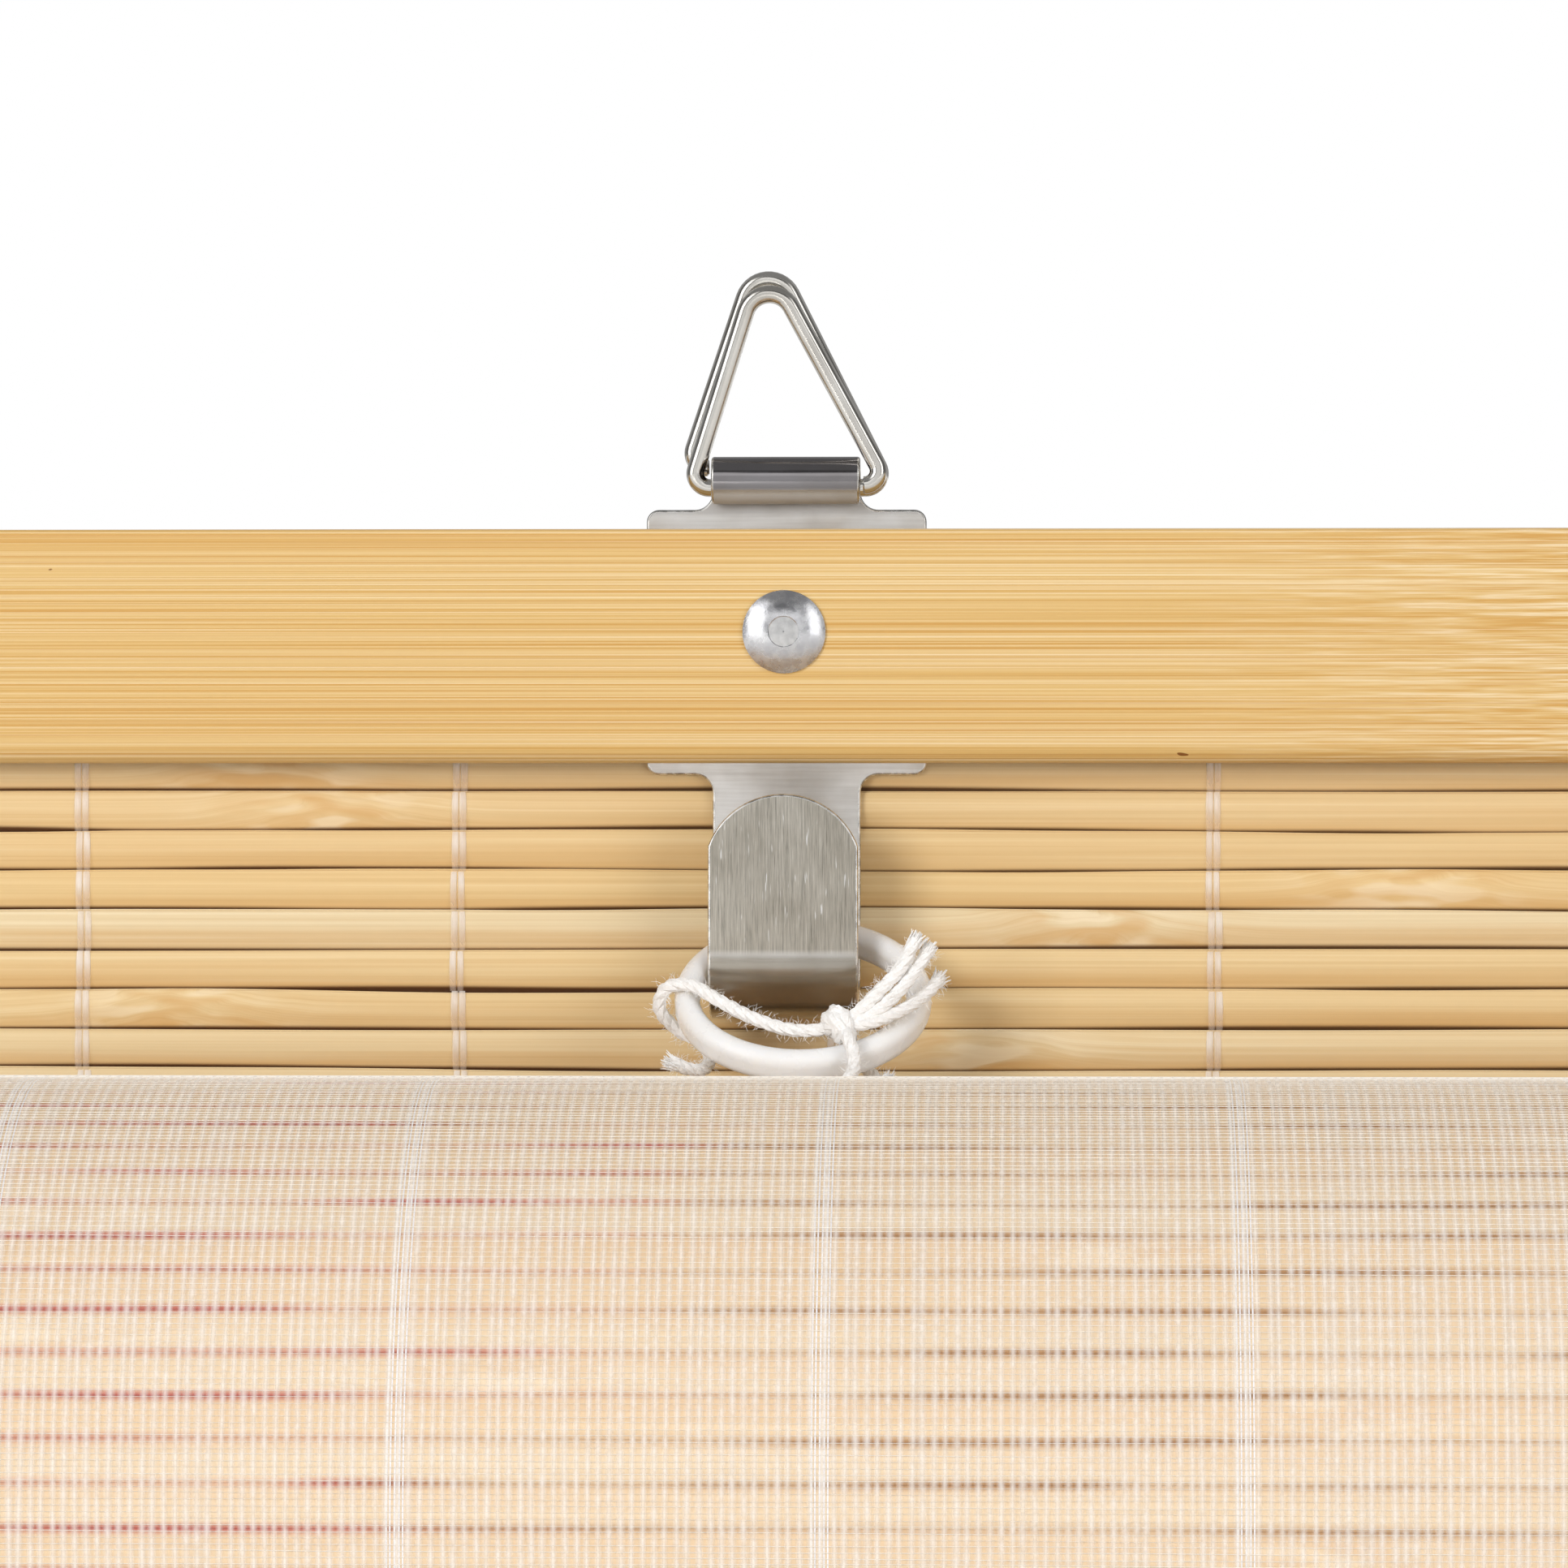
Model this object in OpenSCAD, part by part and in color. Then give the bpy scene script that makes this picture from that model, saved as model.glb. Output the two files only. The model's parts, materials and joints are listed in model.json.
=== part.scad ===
/* [Blind] */
// Width of the blind
blind_w = 600; // [420:10:1200]
// Length of the mat when it is let down
drop = 2200; // [1200:50:3000]

/* [Battens] */
// Height of the two head battens
batten_h = 28.5; // [24:0.5:40]
// Thickness of the front batten
front_batten_t = 9; // [7:0.5:12]
// Thickness of the rear batten
rear_batten_t = 6; // [5.5:0.5:10]
// Radius of the front batten's lower front edge
batten_lower_r = 2.5; // [0.5:0.25:3.5]
// Radius of the front batten's upper front edge
batten_upper_r = 0.6; // [0.2:0.1:2]

/* [Slats and lining] */
// Distance from one slat to the next
slat_pitch = 4.9; // [4:0.1:7]
// Thickness of a slat
slat_t = 2.2; // [1.6:0.1:3]
// Width of the groove between two slats
groove_w = 0.5; // [0.3:0.05:0.8]
// Depth of that groove in each face of the hanging slats
groove_depth = 0.7; // [0.4:0.05:0.8]
// Width of the slit that shows between two hanging slats
slit_w = 0.24; // [0.1:0.02:0.3]
// Thickness of the gauze lining
lining_t = 0.4; // [0.2:0.05:0.8]
// How far the mat's top edge lies below the top of the battens
mat_tuck = 2.65; // [0:0.05:6]

/* [Binding threads] */
// Distance from one binding thread to the next
thread_pitch = 46.5; // [30:0.5:60]
// Least distance from a binding thread to the mat's side
thread_margin = 12; // [5:1:30]
// Width of one strand
strand_w = 0.6; // [0.3:0.05:1]
// Height of a strand above the slats
strand_t = 0.35; // [0.2:0.05:0.5]
// Distance between the two strands of a thread
strand_spread = 1.5; // [1:0.1:3]

/* [Roll] */
// Diameter of the bottom rod
rod_d = 19; // [12:0.5:30]
// Air between one turn and the next
turn_slack = 0.95; // [0.5:0.05:2]
// Height from the roll's top to the hooks
roll_clear = 5.2; // [4:0.1:20]

/* [Hook plate] */
// Distance from the blind's side to a hook plate's axis
bracket_inset = 108; // [60:1:160]
// Thickness of the steel sheet
sheet_t = 0.8; // [0.6:0.05:1.2]
// Width of the plate across its arms
plate_w = 34.4; // [28:0.2:44]
// How far the arms show above the battens
arm_above = 2.65; // [1:0.05:5]
// How far the arms show below the battens
arm_below = 1.45; // [1:0.05:5]
// Radius of the arms' corners
arm_corner_r = 1.5; // [0.5:0.1:2]
// Radius in the corner between an arm and a tab
tab_fillet_r = 2.2; // [1:0.1:3]
// Width of the upper tab and of the hook
tab_w = 18.2; // [14:0.2:22]
// Outer diameter of the curled tube
curl_d = 5.8; // [5:0.1:8]
// Height from the arms to the tube
curl_lift = 0.6; // [0.4:0.1:3]
// Angle through which the sheet is curled
curl_turn = 300; // [270:5:305]
// Depth of the hook, from its back to its front
hook_depth = 14; // [12:0.5:18]
// Length of the hook below the arms
hook_drop = 29.7; // [26:0.1:40]
// Height between the front leg's top and the battens
hook_mouth = 3.75; // [2:0.05:8]

/* [Triangle ring] */
// Diameter of the wire
wire_d = 2.2; // [1.6:0.1:2.4]
// Height of the triangle, from the turning axis to its sharp corner
triangle_h = 28.4; // [22:0.2:36]
// How far the apex lies to the right of the tube's middle
apex_shift = -2.75; // [-4:0.25:4]
// How far the left corner lies beyond the tube's end
left_room = 2.65; // [2.6:0.05:5]
// How far the right corner lies beyond the tube's end
right_room = 3.5; // [3.4:0.05:6]
// Bend radius of the lower corners
corner_bend_r = 1.75; // [1.5:0.05:2.5]
// Bend radius of the apex
apex_bend_r = 3.1; // [2:0.1:5]
// How much higher the rear turn stands
rear_turn_rise = 2; // [1:0.1:2.5]

/* [Rivet] */
// Height of the rivets above the middle of the battens
rivet_rise = 1.7; // [-4:0.1:4]
// Diameter of the shank
rivet_d = 4.8; // [4:0.1:6.4]
// Diameter of the head
rivet_head_d = 10.1; // [8:0.1:14]
// Height of the head
rivet_head_h = 1.9; // [1.4:0.1:3]
// Diameter of the flat in the middle of the head
rivet_flat_d = 3.8; // [3.4:0.1:5]
// Diameter of the pin
pin_d = 2.9; // [2:0.1:3.2]
// Diameter of the washer
washer_d = 11; // [9:0.5:13]
// Thickness of the washer
washer_t = 0.9; // [0.6:0.1:1.2]

/* [Lift ring] */
// Room between the hook's sides and the ring
lift_ring_room = 3.4; // [2:0.1:6]
// Width of the ring's section
lift_ring_w = 3; // [2:0.1:4]
// Height of the ring's section
lift_ring_h = 4.1; // [3.2:0.1:5]
// Angle of the ring from upright
lift_ring_tilt = 57.5; // [50:0.5:65]

/* [Tie cord] */
// Diameter of the cord
cord_d = 2; // [1:0.1:2.2]

/* [Hidden] */
$fn = 64;
eps = 0.01;

// Named clearances
sheet_gap = 0.05;
thread_room = 0.1;
bore_clear = 0.05;
wire_clear = 0.1;
turn_gap = 0.1;
core_gap = 0.4;

// Depths, from the wall side of the rear batten towards the viewer
mat_back = -rear_batten_t - 2 * sheet_gap - lining_t;
mat_front = mat_back - slat_t;
plate_back = mat_front - strand_t - thread_room;
plate_front = plate_back - sheet_t;
batten_front = plate_front - front_batten_t;

// Heights of the hook plate
arm_top = batten_h / 2 + arm_above;
arm_bottom = -batten_h / 2 - arm_below;
curl_r = curl_d / 2;
curl_bore_r = curl_r - sheet_t;
curl_y = plate_back - curl_r;
curl_z = arm_top + curl_lift + curl_r;
bend_r = hook_depth / 2;
bend_y = plate_back - bend_r;
hook_bottom = arm_bottom - hook_drop;
bend_z = hook_bottom + bend_r;
leg_top = -batten_h / 2 - hook_mouth;
leg_crown_r = tab_w / 2 + 0.6;
bracket_x = blind_w / 2 - bracket_inset;

// The triangle's bar lies at the bottom of the tube
bar_z = curl_z - (curl_bore_r - wire_d / 2 - wire_clear);
turn_step = wire_d + turn_gap;
left_corner = -tab_w / 2 - left_room;
right_corner = tab_w / 2 + right_room;
free_end_x = tab_w / 2 + 0.4;
wire_sides = 16;
bend_steps = 8;

// The roll is a spiral that ends on the bottom rod
mat_top = batten_h / 2 - mat_tuck;
slat_n = floor(drop / slat_pitch);
mat_len = slat_n * slat_pitch;
turn_t = slat_t + lining_t + turn_slack;
roll_top = hook_bottom - roll_clear;
core_r = rod_d / 2 + core_gap + slat_t;
skin_t = lining_t + sheet_gap;
slack_len = mat_len - mat_top + roll_top + 0.75 * turn_t - skin_t;
half_step = turn_t / (2 * PI);
roll_r = sqrt(half_step * half_step + core_r * core_r + slack_len * 2 * half_step) - half_step;
roll_y = mat_back - roll_r;
roll_z = roll_top - (roll_r - 0.75 * turn_t + skin_t);
hung_len = mat_top - roll_z;
hung_n = floor(hung_len / slat_pitch);

// The binding threads stand in pairs about the middle
thread_half = floor((blind_w / 2 - thread_margin) / thread_pitch);
thread_n = 2 * thread_half + 1;

// Rivet and its counterbore
tail_d = rivet_d + 2;
tail_h = 1.8;
pin_head_h = 0.8;
well_d = washer_d + 1;
well_depth = washer_t + tail_h + pin_head_h + 0.3;
grip = -batten_front - well_depth + washer_t;

// The lift ring hangs in the hook, off to one side
lift_ring_r = tab_w / 2 + lift_ring_room + lift_ring_w / 2;
lift_ring_x = lift_ring_room - 0.9;
lift_ring_y = plate_back - hook_depth + sheet_t / 2 - 1.8;
lift_ring_z = bend_z - 4.4;

// Routes of the tie cord, from the plate's axis: sideways, depth, height
tie_route = [
  [8.4, -42.4, -51.8], [9, -40.8, -50.8], [9, -39.4, -49], [8.2, -37.6, -46.8], [7.2, -35, -45.6],
  [4, -34.2, -46.2], [0.4, -33, -46], [-3.8, -31.6, -44.6], [-7.6, -30, -42.7], [-10.8, -28.2, -41],
  [-13.9, -26.8, -41.4], [-14.8, -25.2, -44], [-12.6, -24, -46.6], [-9.8, -25.2, -48], [-8.6, -28, -49.9],
  [-9.4, -31, -51.1], [-11.2, -33.2, -50.8], [-13, -34.6, -50]
];
tail_routes = [
  [[7.2, -35, -45.6], [9.4, -35.2, -44], [12, -34.6, -41.4], [14.4, -33.6, -38.8], [16.2, -33, -35.4]],
  [[7.2, -35, -45.6], [10.6, -35.2, -44.6], [13.6, -34.4, -42.2], [16, -32.8, -39.4], [17.8, -31.4, -36.6]],
  [[7.2, -35, -45.6], [10.8, -35.4, -45.2], [14.6, -33.6, -43.8], [17.4, -31.2, -42], [19, -28.9, -40.2]],
  [[7.2, -35, -45.6], [8, -31.6, -46], [8.8, -30.2, -48.6], [10.8, -31.2, -51.4], [12.4, -34.2, -52.6], [13, -36.6, -52]]
];
knot_at = [7.2, -35, -45.6];
knot_d = 4.4;
cord_sides = 8;
cord_steps = 3;

bamboo = "burlywood";
honey = "goldenrod";
steel = "silver";
gauze = "whitesmoke";

sides = [["left", -1], ["right", 1]];
function two(n) = n < 10 ? str("0", n) : str(n);
function thread_name(i) = str("binding_thread_", two(i));
PAIRED = ["hook_plate", "triangle_ring", "rivet", "rivet_pin", "rivet_washer", "lift_ring", "tie_cord"];

// Vectors
function unit(v) = v / norm(v);
function across(v) = unit(cross(v, abs(v.z) < 0.9 * norm(v) ? [0, 0, 1] : [1, 0, 0]));

// A point of the mat: s along it from the top edge, d in from its lined face
function spiral_angle(s) = (roll_r - sqrt(max(0, roll_r * roll_r - turn_t * s / PI))) * 360 / turn_t;
function on_spiral(a, d) =
  let (r = roll_r - turn_t * a / 360 - d)
  [roll_y + r * cos(a), roll_z - r * sin(a)];
function mat_point(s, d) =
  s <= hung_len ? [mat_back - d, mat_top - s] : on_spiral(spiral_angle(s - hung_len), d);

// Profiles drawn in depth and height, drawn out along the width
module along_x(length) {
  rotate([90, 0, 90]) linear_extrude(length, center = true) children();
}

// Outlines drawn in width and height, drawn out towards the viewer
module towards_viewer(from_y, depth) {
  translate([0, from_y, 0]) rotate([90, 0, 0]) linear_extrude(depth) children();
}

module at_brackets() {
  for (side = sides) translate([side[1] * bracket_x, 0, 0]) children();
}

module rivet_holes(d) {
  at_brackets() translate([0, eps, rivet_rise]) rotate([90, 0, 0]) cylinder(d = d, h = 1 - batten_front);
}

module front_profile() {
  low = -batten_h / 2;
  top = batten_h / 2;
  translate([batten_front + batten_lower_r, low + batten_lower_r]) circle(batten_lower_r);
  translate([batten_front + batten_upper_r, top - batten_upper_r]) circle(batten_upper_r);
  translate([batten_front, low + batten_lower_r]) square([front_batten_t, batten_h - batten_lower_r - batten_upper_r]);
  translate([batten_front + batten_lower_r, low]) square([front_batten_t - batten_lower_r, batten_h / 2]);
  translate([batten_front + batten_upper_r, 0]) square([front_batten_t - batten_upper_r, top]);
}

module front_batten() {
  color(honey) difference() {
    along_x(blind_w) front_profile();
    rivet_holes(rivet_d + 2 * bore_clear);
  }
}

module rear_batten() {
  color(honey) difference() {
    translate([-blind_w / 2, -rear_batten_t, -batten_h / 2]) cube([blind_w, rear_batten_t, batten_h]);
    rivet_holes(rivet_d + 2 * bore_clear);
    at_brackets() translate([0, eps, rivet_rise]) rotate([90, 0, 0]) cylinder(d = well_d, h = well_depth + eps);
  }
}

// The hanging slats: grooves in both faces, and slits from thread to thread where the mat shows
module hanging_slats() {
  color(bamboo) difference() {
    along_x(blind_w) polygon(concat(
      [for (i = [0:hung_n - 1]) each [
        mat_point(i * slat_pitch + groove_w / 2, 0),
        mat_point((i + 1) * slat_pitch - groove_w / 2, 0),
        if (i < hung_n - 1) mat_point((i + 1) * slat_pitch, groove_depth)
      ]],
      [for (i = [hung_n - 1:-1:0]) each [
        mat_point((i + 1) * slat_pitch - groove_w / 2, slat_t),
        mat_point(i * slat_pitch + groove_w / 2, slat_t),
        if (i > 0) mat_point(i * slat_pitch, slat_t - groove_depth)
      ]]
    ));
    rivet_holes(rivet_d + 2 * bore_clear);
    for (i = [1:hung_n - 1]) {
      z = mat_top - i * slat_pitch;
      if (z < -batten_h / 2 && z > roll_top) slit_row(z);
    }
  }
}

module slit_row(z) {
  web = strand_spread + 2 * strand_w;
  for (k = [-thread_half - 1:thread_half]) {
    from_x = k < -thread_half ? -blind_w / 2 - 1 : k * thread_pitch + web / 2;
    to_x = k == thread_half ? blind_w / 2 + 1 : (k + 1) * thread_pitch - web / 2;
    translate([from_x, mat_front - 1, z - slit_w / 2]) cube([to_x - from_x, slat_t + 2, slit_w]);
  }
}

// The rolled slats: flat chords whose outer edges open into V gaps
module rolled_slats() {
  color(bamboo) along_x(blind_w) polygon(concat(
    [for (i = [hung_n:slat_n - 1]) each [
      mat_point(i * slat_pitch + groove_w / 2, 0),
      mat_point((i + 1) * slat_pitch - groove_w / 2, 0),
      if (i < slat_n - 1) mat_point((i + 1) * slat_pitch, slat_t * 0.7)
    ]],
    [mat_point(mat_len - groove_w / 2, slat_t)],
    [for (i = [slat_n - 1:-1:hung_n + 1]) mat_point(i * slat_pitch, slat_t)],
    [mat_point(hung_n * slat_pitch + groove_w / 2, slat_t)]
  ));
}

module gauze_lining() {
  stops = concat([0], [for (i = [hung_n:slat_n]) i * slat_pitch]);
  last = len(stops) - 1;
  color(gauze) difference() {
    along_x(blind_w) polygon(concat(
      [for (i = [0:last]) mat_point(stops[i], -sheet_gap)],
      [for (i = [last:-1:0]) mat_point(stops[i], -skin_t)]
    ));
    rivet_holes(rivet_d + 2 * bore_clear);
  }
}

module bottom_rod() {
  color(honey) translate([-blind_w / 2, roll_y, roll_z]) rotate([0, 90, 0]) cylinder(d = rod_d, h = blind_w);
}

// A binding thread: two strands that rise over each slat and dip between slats
module binding_thread(i) {
  dip = strand_t * 0.4;
  shoulder = slat_pitch * 0.2;
  color(gauze)
    for (side = [-1, 1])
      translate([(i - 1 - thread_half) * thread_pitch + side * strand_spread / 2, 0, 0])
        along_x(strand_w) polygon(concat(
          [mat_point(hung_n * slat_pitch, slat_t + sheet_gap), mat_point(0, slat_t + sheet_gap)],
          [for (n = [0:hung_n - 1]) each [
            mat_point(n * slat_pitch, slat_t + strand_t - dip),
            mat_point(n * slat_pitch + shoulder, slat_t + strand_t),
            mat_point((n + 1) * slat_pitch - shoulder, slat_t + strand_t)
          ]],
          [mat_point(hung_n * slat_pitch, slat_t + strand_t - dip)]
        ));
}

// The hook plate
module inner_fillet(x, z, to_x, to_z) {
  translate([x, z]) scale([to_x, to_z]) difference() {
    translate([-eps, -eps]) square(tab_fillet_r + eps);
    translate([tab_fillet_r, tab_fillet_r]) circle(tab_fillet_r);
  }
}

module arms_outline() {
  half = plate_w / 2 - arm_corner_r;
  for (x = [-half, half])
    for (z = [arm_bottom + arm_corner_r, arm_top - arm_corner_r])
      translate([x, z]) circle(arm_corner_r);
  translate([-half, arm_bottom]) square([2 * half, arm_top - arm_bottom]);
  translate([-plate_w / 2, arm_bottom + arm_corner_r]) square([plate_w, arm_top - arm_bottom - 2 * arm_corner_r]);
}

module plate_outline() {
  arms_outline();
  translate([-tab_w / 2, bend_z]) square([tab_w, curl_z - bend_z]);
  for (side = [-1, 1]) {
    inner_fillet(side * tab_w / 2, arm_top, side, 1);
    inner_fillet(side * tab_w / 2, arm_bottom, side, -1);
  }
}

module front_leg_outline() {
  intersection() {
    translate([-tab_w / 2, bend_z]) square([tab_w, leg_top - bend_z]);
    union() {
      translate([0, leg_top - leg_crown_r]) circle(leg_crown_r);
      translate([-tab_w / 2, bend_z]) square([tab_w, leg_top - leg_crown_r - bend_z]);
    }
  }
}

module ring_sector(outer_r, inner_r, turn) {
  rotate_extrude(angle = turn) translate([inner_r, 0]) square([outer_r - inner_r, tab_w]);
}

module hook_plate() {
  color(steel) {
    difference() {
      towards_viewer(plate_back, sheet_t) plate_outline();
      translate([0, 0, rivet_rise]) rotate([90, 0, 0]) cylinder(d = rivet_d + 2 * bore_clear, h = 1 - batten_front);
    }
    translate([-tab_w / 2, curl_y, curl_z]) rotate([90, 0, 90]) ring_sector(curl_r, curl_bore_r, curl_turn);
    translate([-tab_w / 2, bend_y, bend_z]) rotate([90, 0, 90]) rotate(180) ring_sector(bend_r, bend_r - sheet_t, 180);
    towards_viewer(plate_back - hook_depth + sheet_t, sheet_t) front_leg_outline();
  }
}

// A round section swept along a line of points
module swept_tube(line, d, tube_sides) {
  n = len(line);
  runs = [for (i = [0:n - 1]) unit(line[min(n - 1, i + 1)] - line[max(0, i - 1)])];
  ups = [
    for (i = 0, u = across(runs[0]); i < n; i = i + 1, u = i < n ? unit(u - runs[i] * (u * runs[i])) : u) u
  ];
  rim = [for (k = [0:tube_sides - 1]) 360 * k / tube_sides];
  polyhedron(
    [for (i = [0:n - 1], a = rim) line[i] + d / 2 * (ups[i] * cos(a) + cross(runs[i], ups[i]) * sin(a))],
    concat(
      [[for (k = [0:tube_sides - 1]) k]],
      [for (i = [0:n - 2], k = [0:tube_sides - 1])
        let (a = i * tube_sides, b = (k + 1) % tube_sides)
        each [[a + k, a + tube_sides + k, a + b], [a + b, a + tube_sides + k, a + tube_sides + b]]],
      [[for (k = [tube_sides - 1:-1:0]) (n - 1) * tube_sides + k]]
    )
  );
}

// A path with an arc of radius r at one of its inner points
function bend_at(points, i, r) =
  let (
    a = unit(points[i - 1] - points[i]),
    b = unit(points[i + 1] - points[i]),
    half = acos(a * b) / 2,
    middle = points[i] + unit(a + b) * r / sin(half),
    from = points[i] + a * r / tan(half) - middle,
    side = unit(points[i] + b * r / tan(half) - middle + from * cos(2 * half)) * r
  )
  [for (k = [0:bend_steps]) let (t = (180 - 2 * half) * k / bend_steps) middle + from * cos(t) + side * sin(t)];
function bent_path(points, radii) =
  let (last = len(points) - 1)
  concat([points[0]], [for (i = [1:last - 1]) each bend_at(points, i, radii[i - 1])], [points[last]]);

// Two turns: the bar in the tube leads left to the front turn and right to the rear turn
module triangle_ring() {
  bar_half = tab_w / 2 + 0.2;
  in_bar = bar_half - 0.4;
  loop_d = wire_d - 0.04;
  bends = [corner_bend_r, apex_bend_r, corner_bend_r];
  rear_corner = left_corner - 0.4;
  rear_end_z = rear_turn_rise + 0.6;
  front_end_z = 0.2;
  color(steel) translate([0, curl_y, bar_z]) {
    translate([-bar_half, 0, 0]) rotate([0, 90, 0]) cylinder(d = wire_d, h = 2 * bar_half);
    swept_tube(bent_path([
      [-in_bar, 0, 0], [left_corner, 0, 0], [apex_shift, -turn_step / 2, triangle_h],
      [right_corner, -turn_step, front_end_z], [free_end_x, -turn_step, front_end_z]
    ], bends), loop_d, wire_sides);
    swept_tube(bent_path([
      [in_bar, 0, 0], [right_corner, 0, 0], [apex_shift, turn_step / 2, triangle_h + rear_turn_rise],
      [rear_corner, turn_step, rear_end_z], [-free_end_x, turn_step, rear_end_z]
    ], bends), loop_d, wire_sides);
  }
}

// The rivet, turned about its axis with its head towards the viewer
module on_rivet_axis() {
  translate([0, batten_front, rivet_rise]) rotate([90, 0, 0]) children();
}

module rivet() {
  head_r = rivet_head_d / 2;
  flat_r = rivet_flat_d / 2;
  rim_h = 0.45;
  dome_low = (rivet_head_h * rivet_head_h + flat_r * flat_r - rim_h * rim_h - head_r * head_r)
    / (2 * (rivet_head_h - rim_h));
  dome_r = norm([flat_r, rivet_head_h - dome_low]);
  color(steel) on_rivet_axis() difference() {
    union() {
      rotate_extrude() intersection() {
        translate([0, dome_low]) circle(dome_r);
        square([head_r, rivet_head_h]);
      }
      translate([0, 0, -grip]) cylinder(d = rivet_d, h = grip + eps);
      translate([0, 0, -grip - tail_h]) rotate_extrude() polygon([
        [0, 0], [rivet_d / 2, 0], [tail_d / 2, tail_h * 0.4], [tail_d / 2, tail_h * 0.8], [tail_d / 2 - 0.4, tail_h],
        [0, tail_h]
      ]);
    }
    translate([0, 0, -grip - tail_h - 1]) cylinder(d = pin_d + 2 * bore_clear, h = grip + tail_h + rivet_head_h + 2);
  }
}

module rivet_pin() {
  recess = 0.3;
  color(steel) on_rivet_axis() {
    translate([0, 0, -grip - tail_h]) cylinder(d = pin_d, h = grip + tail_h + rivet_head_h - recess);
    translate([0, 0, -grip - tail_h - pin_head_h]) cylinder(d1 = pin_d - 0.6, d2 = rivet_d - 0.2, h = pin_head_h);
  }
}

module rivet_washer() {
  color(steel) on_rivet_axis() translate([0, 0, -grip]) difference() {
    cylinder(d = washer_d, h = washer_t);
    translate([0, 0, -1]) cylinder(d = rivet_d + 2 * bore_clear, h = washer_t + 2);
  }
}

module lift_ring() {
  round_r = lift_ring_w / 2;
  straight = lift_ring_h - lift_ring_w;
  color("white") translate([lift_ring_x, lift_ring_y, lift_ring_z]) rotate([90 - lift_ring_tilt, 0, 0])
    rotate_extrude() translate([lift_ring_r, 0]) {
      for (side = [-1, 1]) translate([0, side * straight / 2]) circle(round_r);
      translate([-round_r, -straight / 2]) square([lift_ring_w, straight]);
    }
}

// A round cord swept along a smooth curve through the points of its route
function curve_point(p, i, t) =
  let (
    last = len(p) - 1,
    a = p[max(0, i - 1)],
    b = p[i],
    c = p[i + 1],
    d = p[min(last, i + 2)]
  )
  b + 0.5 * t * (c - a + t * (2 * a - 5 * b + 4 * c - d + t * (3 * (b - c) + d - a)));
function curve(p, steps) = concat(
  [for (i = [0:len(p) - 2], k = [0:steps - 1]) curve_point(p, i, k / steps)],
  [p[len(p) - 1]]
);

module tie_cord() {
  color("white") {
    swept_tube(curve(tie_route, cord_steps), cord_d, cord_sides);
    for (route = tail_routes) swept_tube(curve(route, cord_steps), cord_d, cord_sides);
    translate(knot_at) sphere(d = knot_d, $fn = 12);
  }
}

module paired(name) {
  if (name == "hook_plate") hook_plate();
  if (name == "triangle_ring") triangle_ring();
  if (name == "rivet") rivet();
  if (name == "rivet_pin") rivet_pin();
  if (name == "rivet_washer") rivet_washer();
  if (name == "lift_ring") lift_ring();
  if (name == "tie_cord") tie_cord();
}

front_batten();
rear_batten();
hanging_slats();
rolled_slats();
gauze_lining();
bottom_rod();
for (i = [1:thread_n]) binding_thread(i);
for (name = PAIRED, side = sides)
  translate([side[1] * bracket_x, 0, 0]) paired(name);
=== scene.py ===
"""Looks of a rolled-up bamboo blind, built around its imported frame. Lengths are in metres."""
import json
import math
import random

import bmesh
import bpy
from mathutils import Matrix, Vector


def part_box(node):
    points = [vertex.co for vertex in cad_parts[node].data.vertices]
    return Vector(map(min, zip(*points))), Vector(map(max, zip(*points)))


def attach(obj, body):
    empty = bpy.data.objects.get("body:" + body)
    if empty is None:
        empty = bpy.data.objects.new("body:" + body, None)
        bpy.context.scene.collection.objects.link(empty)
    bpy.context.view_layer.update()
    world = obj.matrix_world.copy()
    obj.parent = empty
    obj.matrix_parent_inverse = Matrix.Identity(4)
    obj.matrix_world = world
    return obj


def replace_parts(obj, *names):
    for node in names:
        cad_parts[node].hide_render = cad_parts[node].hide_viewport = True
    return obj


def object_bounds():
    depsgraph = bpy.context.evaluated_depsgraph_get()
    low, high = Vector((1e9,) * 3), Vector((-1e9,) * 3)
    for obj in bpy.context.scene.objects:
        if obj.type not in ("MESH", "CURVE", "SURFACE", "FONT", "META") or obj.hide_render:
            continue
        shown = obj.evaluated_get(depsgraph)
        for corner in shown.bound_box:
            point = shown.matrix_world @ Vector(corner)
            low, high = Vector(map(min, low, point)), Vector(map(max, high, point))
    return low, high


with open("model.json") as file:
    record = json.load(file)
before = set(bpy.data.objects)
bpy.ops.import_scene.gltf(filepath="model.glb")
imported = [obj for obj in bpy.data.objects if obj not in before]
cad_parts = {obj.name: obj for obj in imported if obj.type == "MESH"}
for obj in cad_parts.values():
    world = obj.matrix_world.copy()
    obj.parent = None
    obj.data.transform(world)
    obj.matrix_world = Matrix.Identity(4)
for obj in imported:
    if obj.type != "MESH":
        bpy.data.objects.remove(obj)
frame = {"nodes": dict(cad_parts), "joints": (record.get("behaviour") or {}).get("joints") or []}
cad_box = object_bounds()
nodes = frame["nodes"]
hinges = {joint["name"]: Vector(joint["pos_m"]) for joint in frame["joints"]}

# Sides of the blind and the places of its brackets
SIDES = ("left", "right")
hinge_at = {side: hinges[f"ring_{side}_swing"] for side in SIDES}
bracket_x = {side: hinge_at[side].x for side in SIDES}

# Sizes of the mat, as in the part's source
SLAT_PITCH = 0.0049
SLAT_T = 0.0022
LINING_T = 0.0004
TURN_SLACK = 0.00095
TURN_T = SLAT_T + LINING_T + TURN_SLACK
GROOVE_W = 0.0005
SLAT_COUNT = 448
THREAD_PITCH = 0.0465
THREAD_COUNT = 13
thread_xs = [(k - (THREAD_COUNT - 1) / 2) * THREAD_PITCH for k in range(THREAD_COUNT)]

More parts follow.
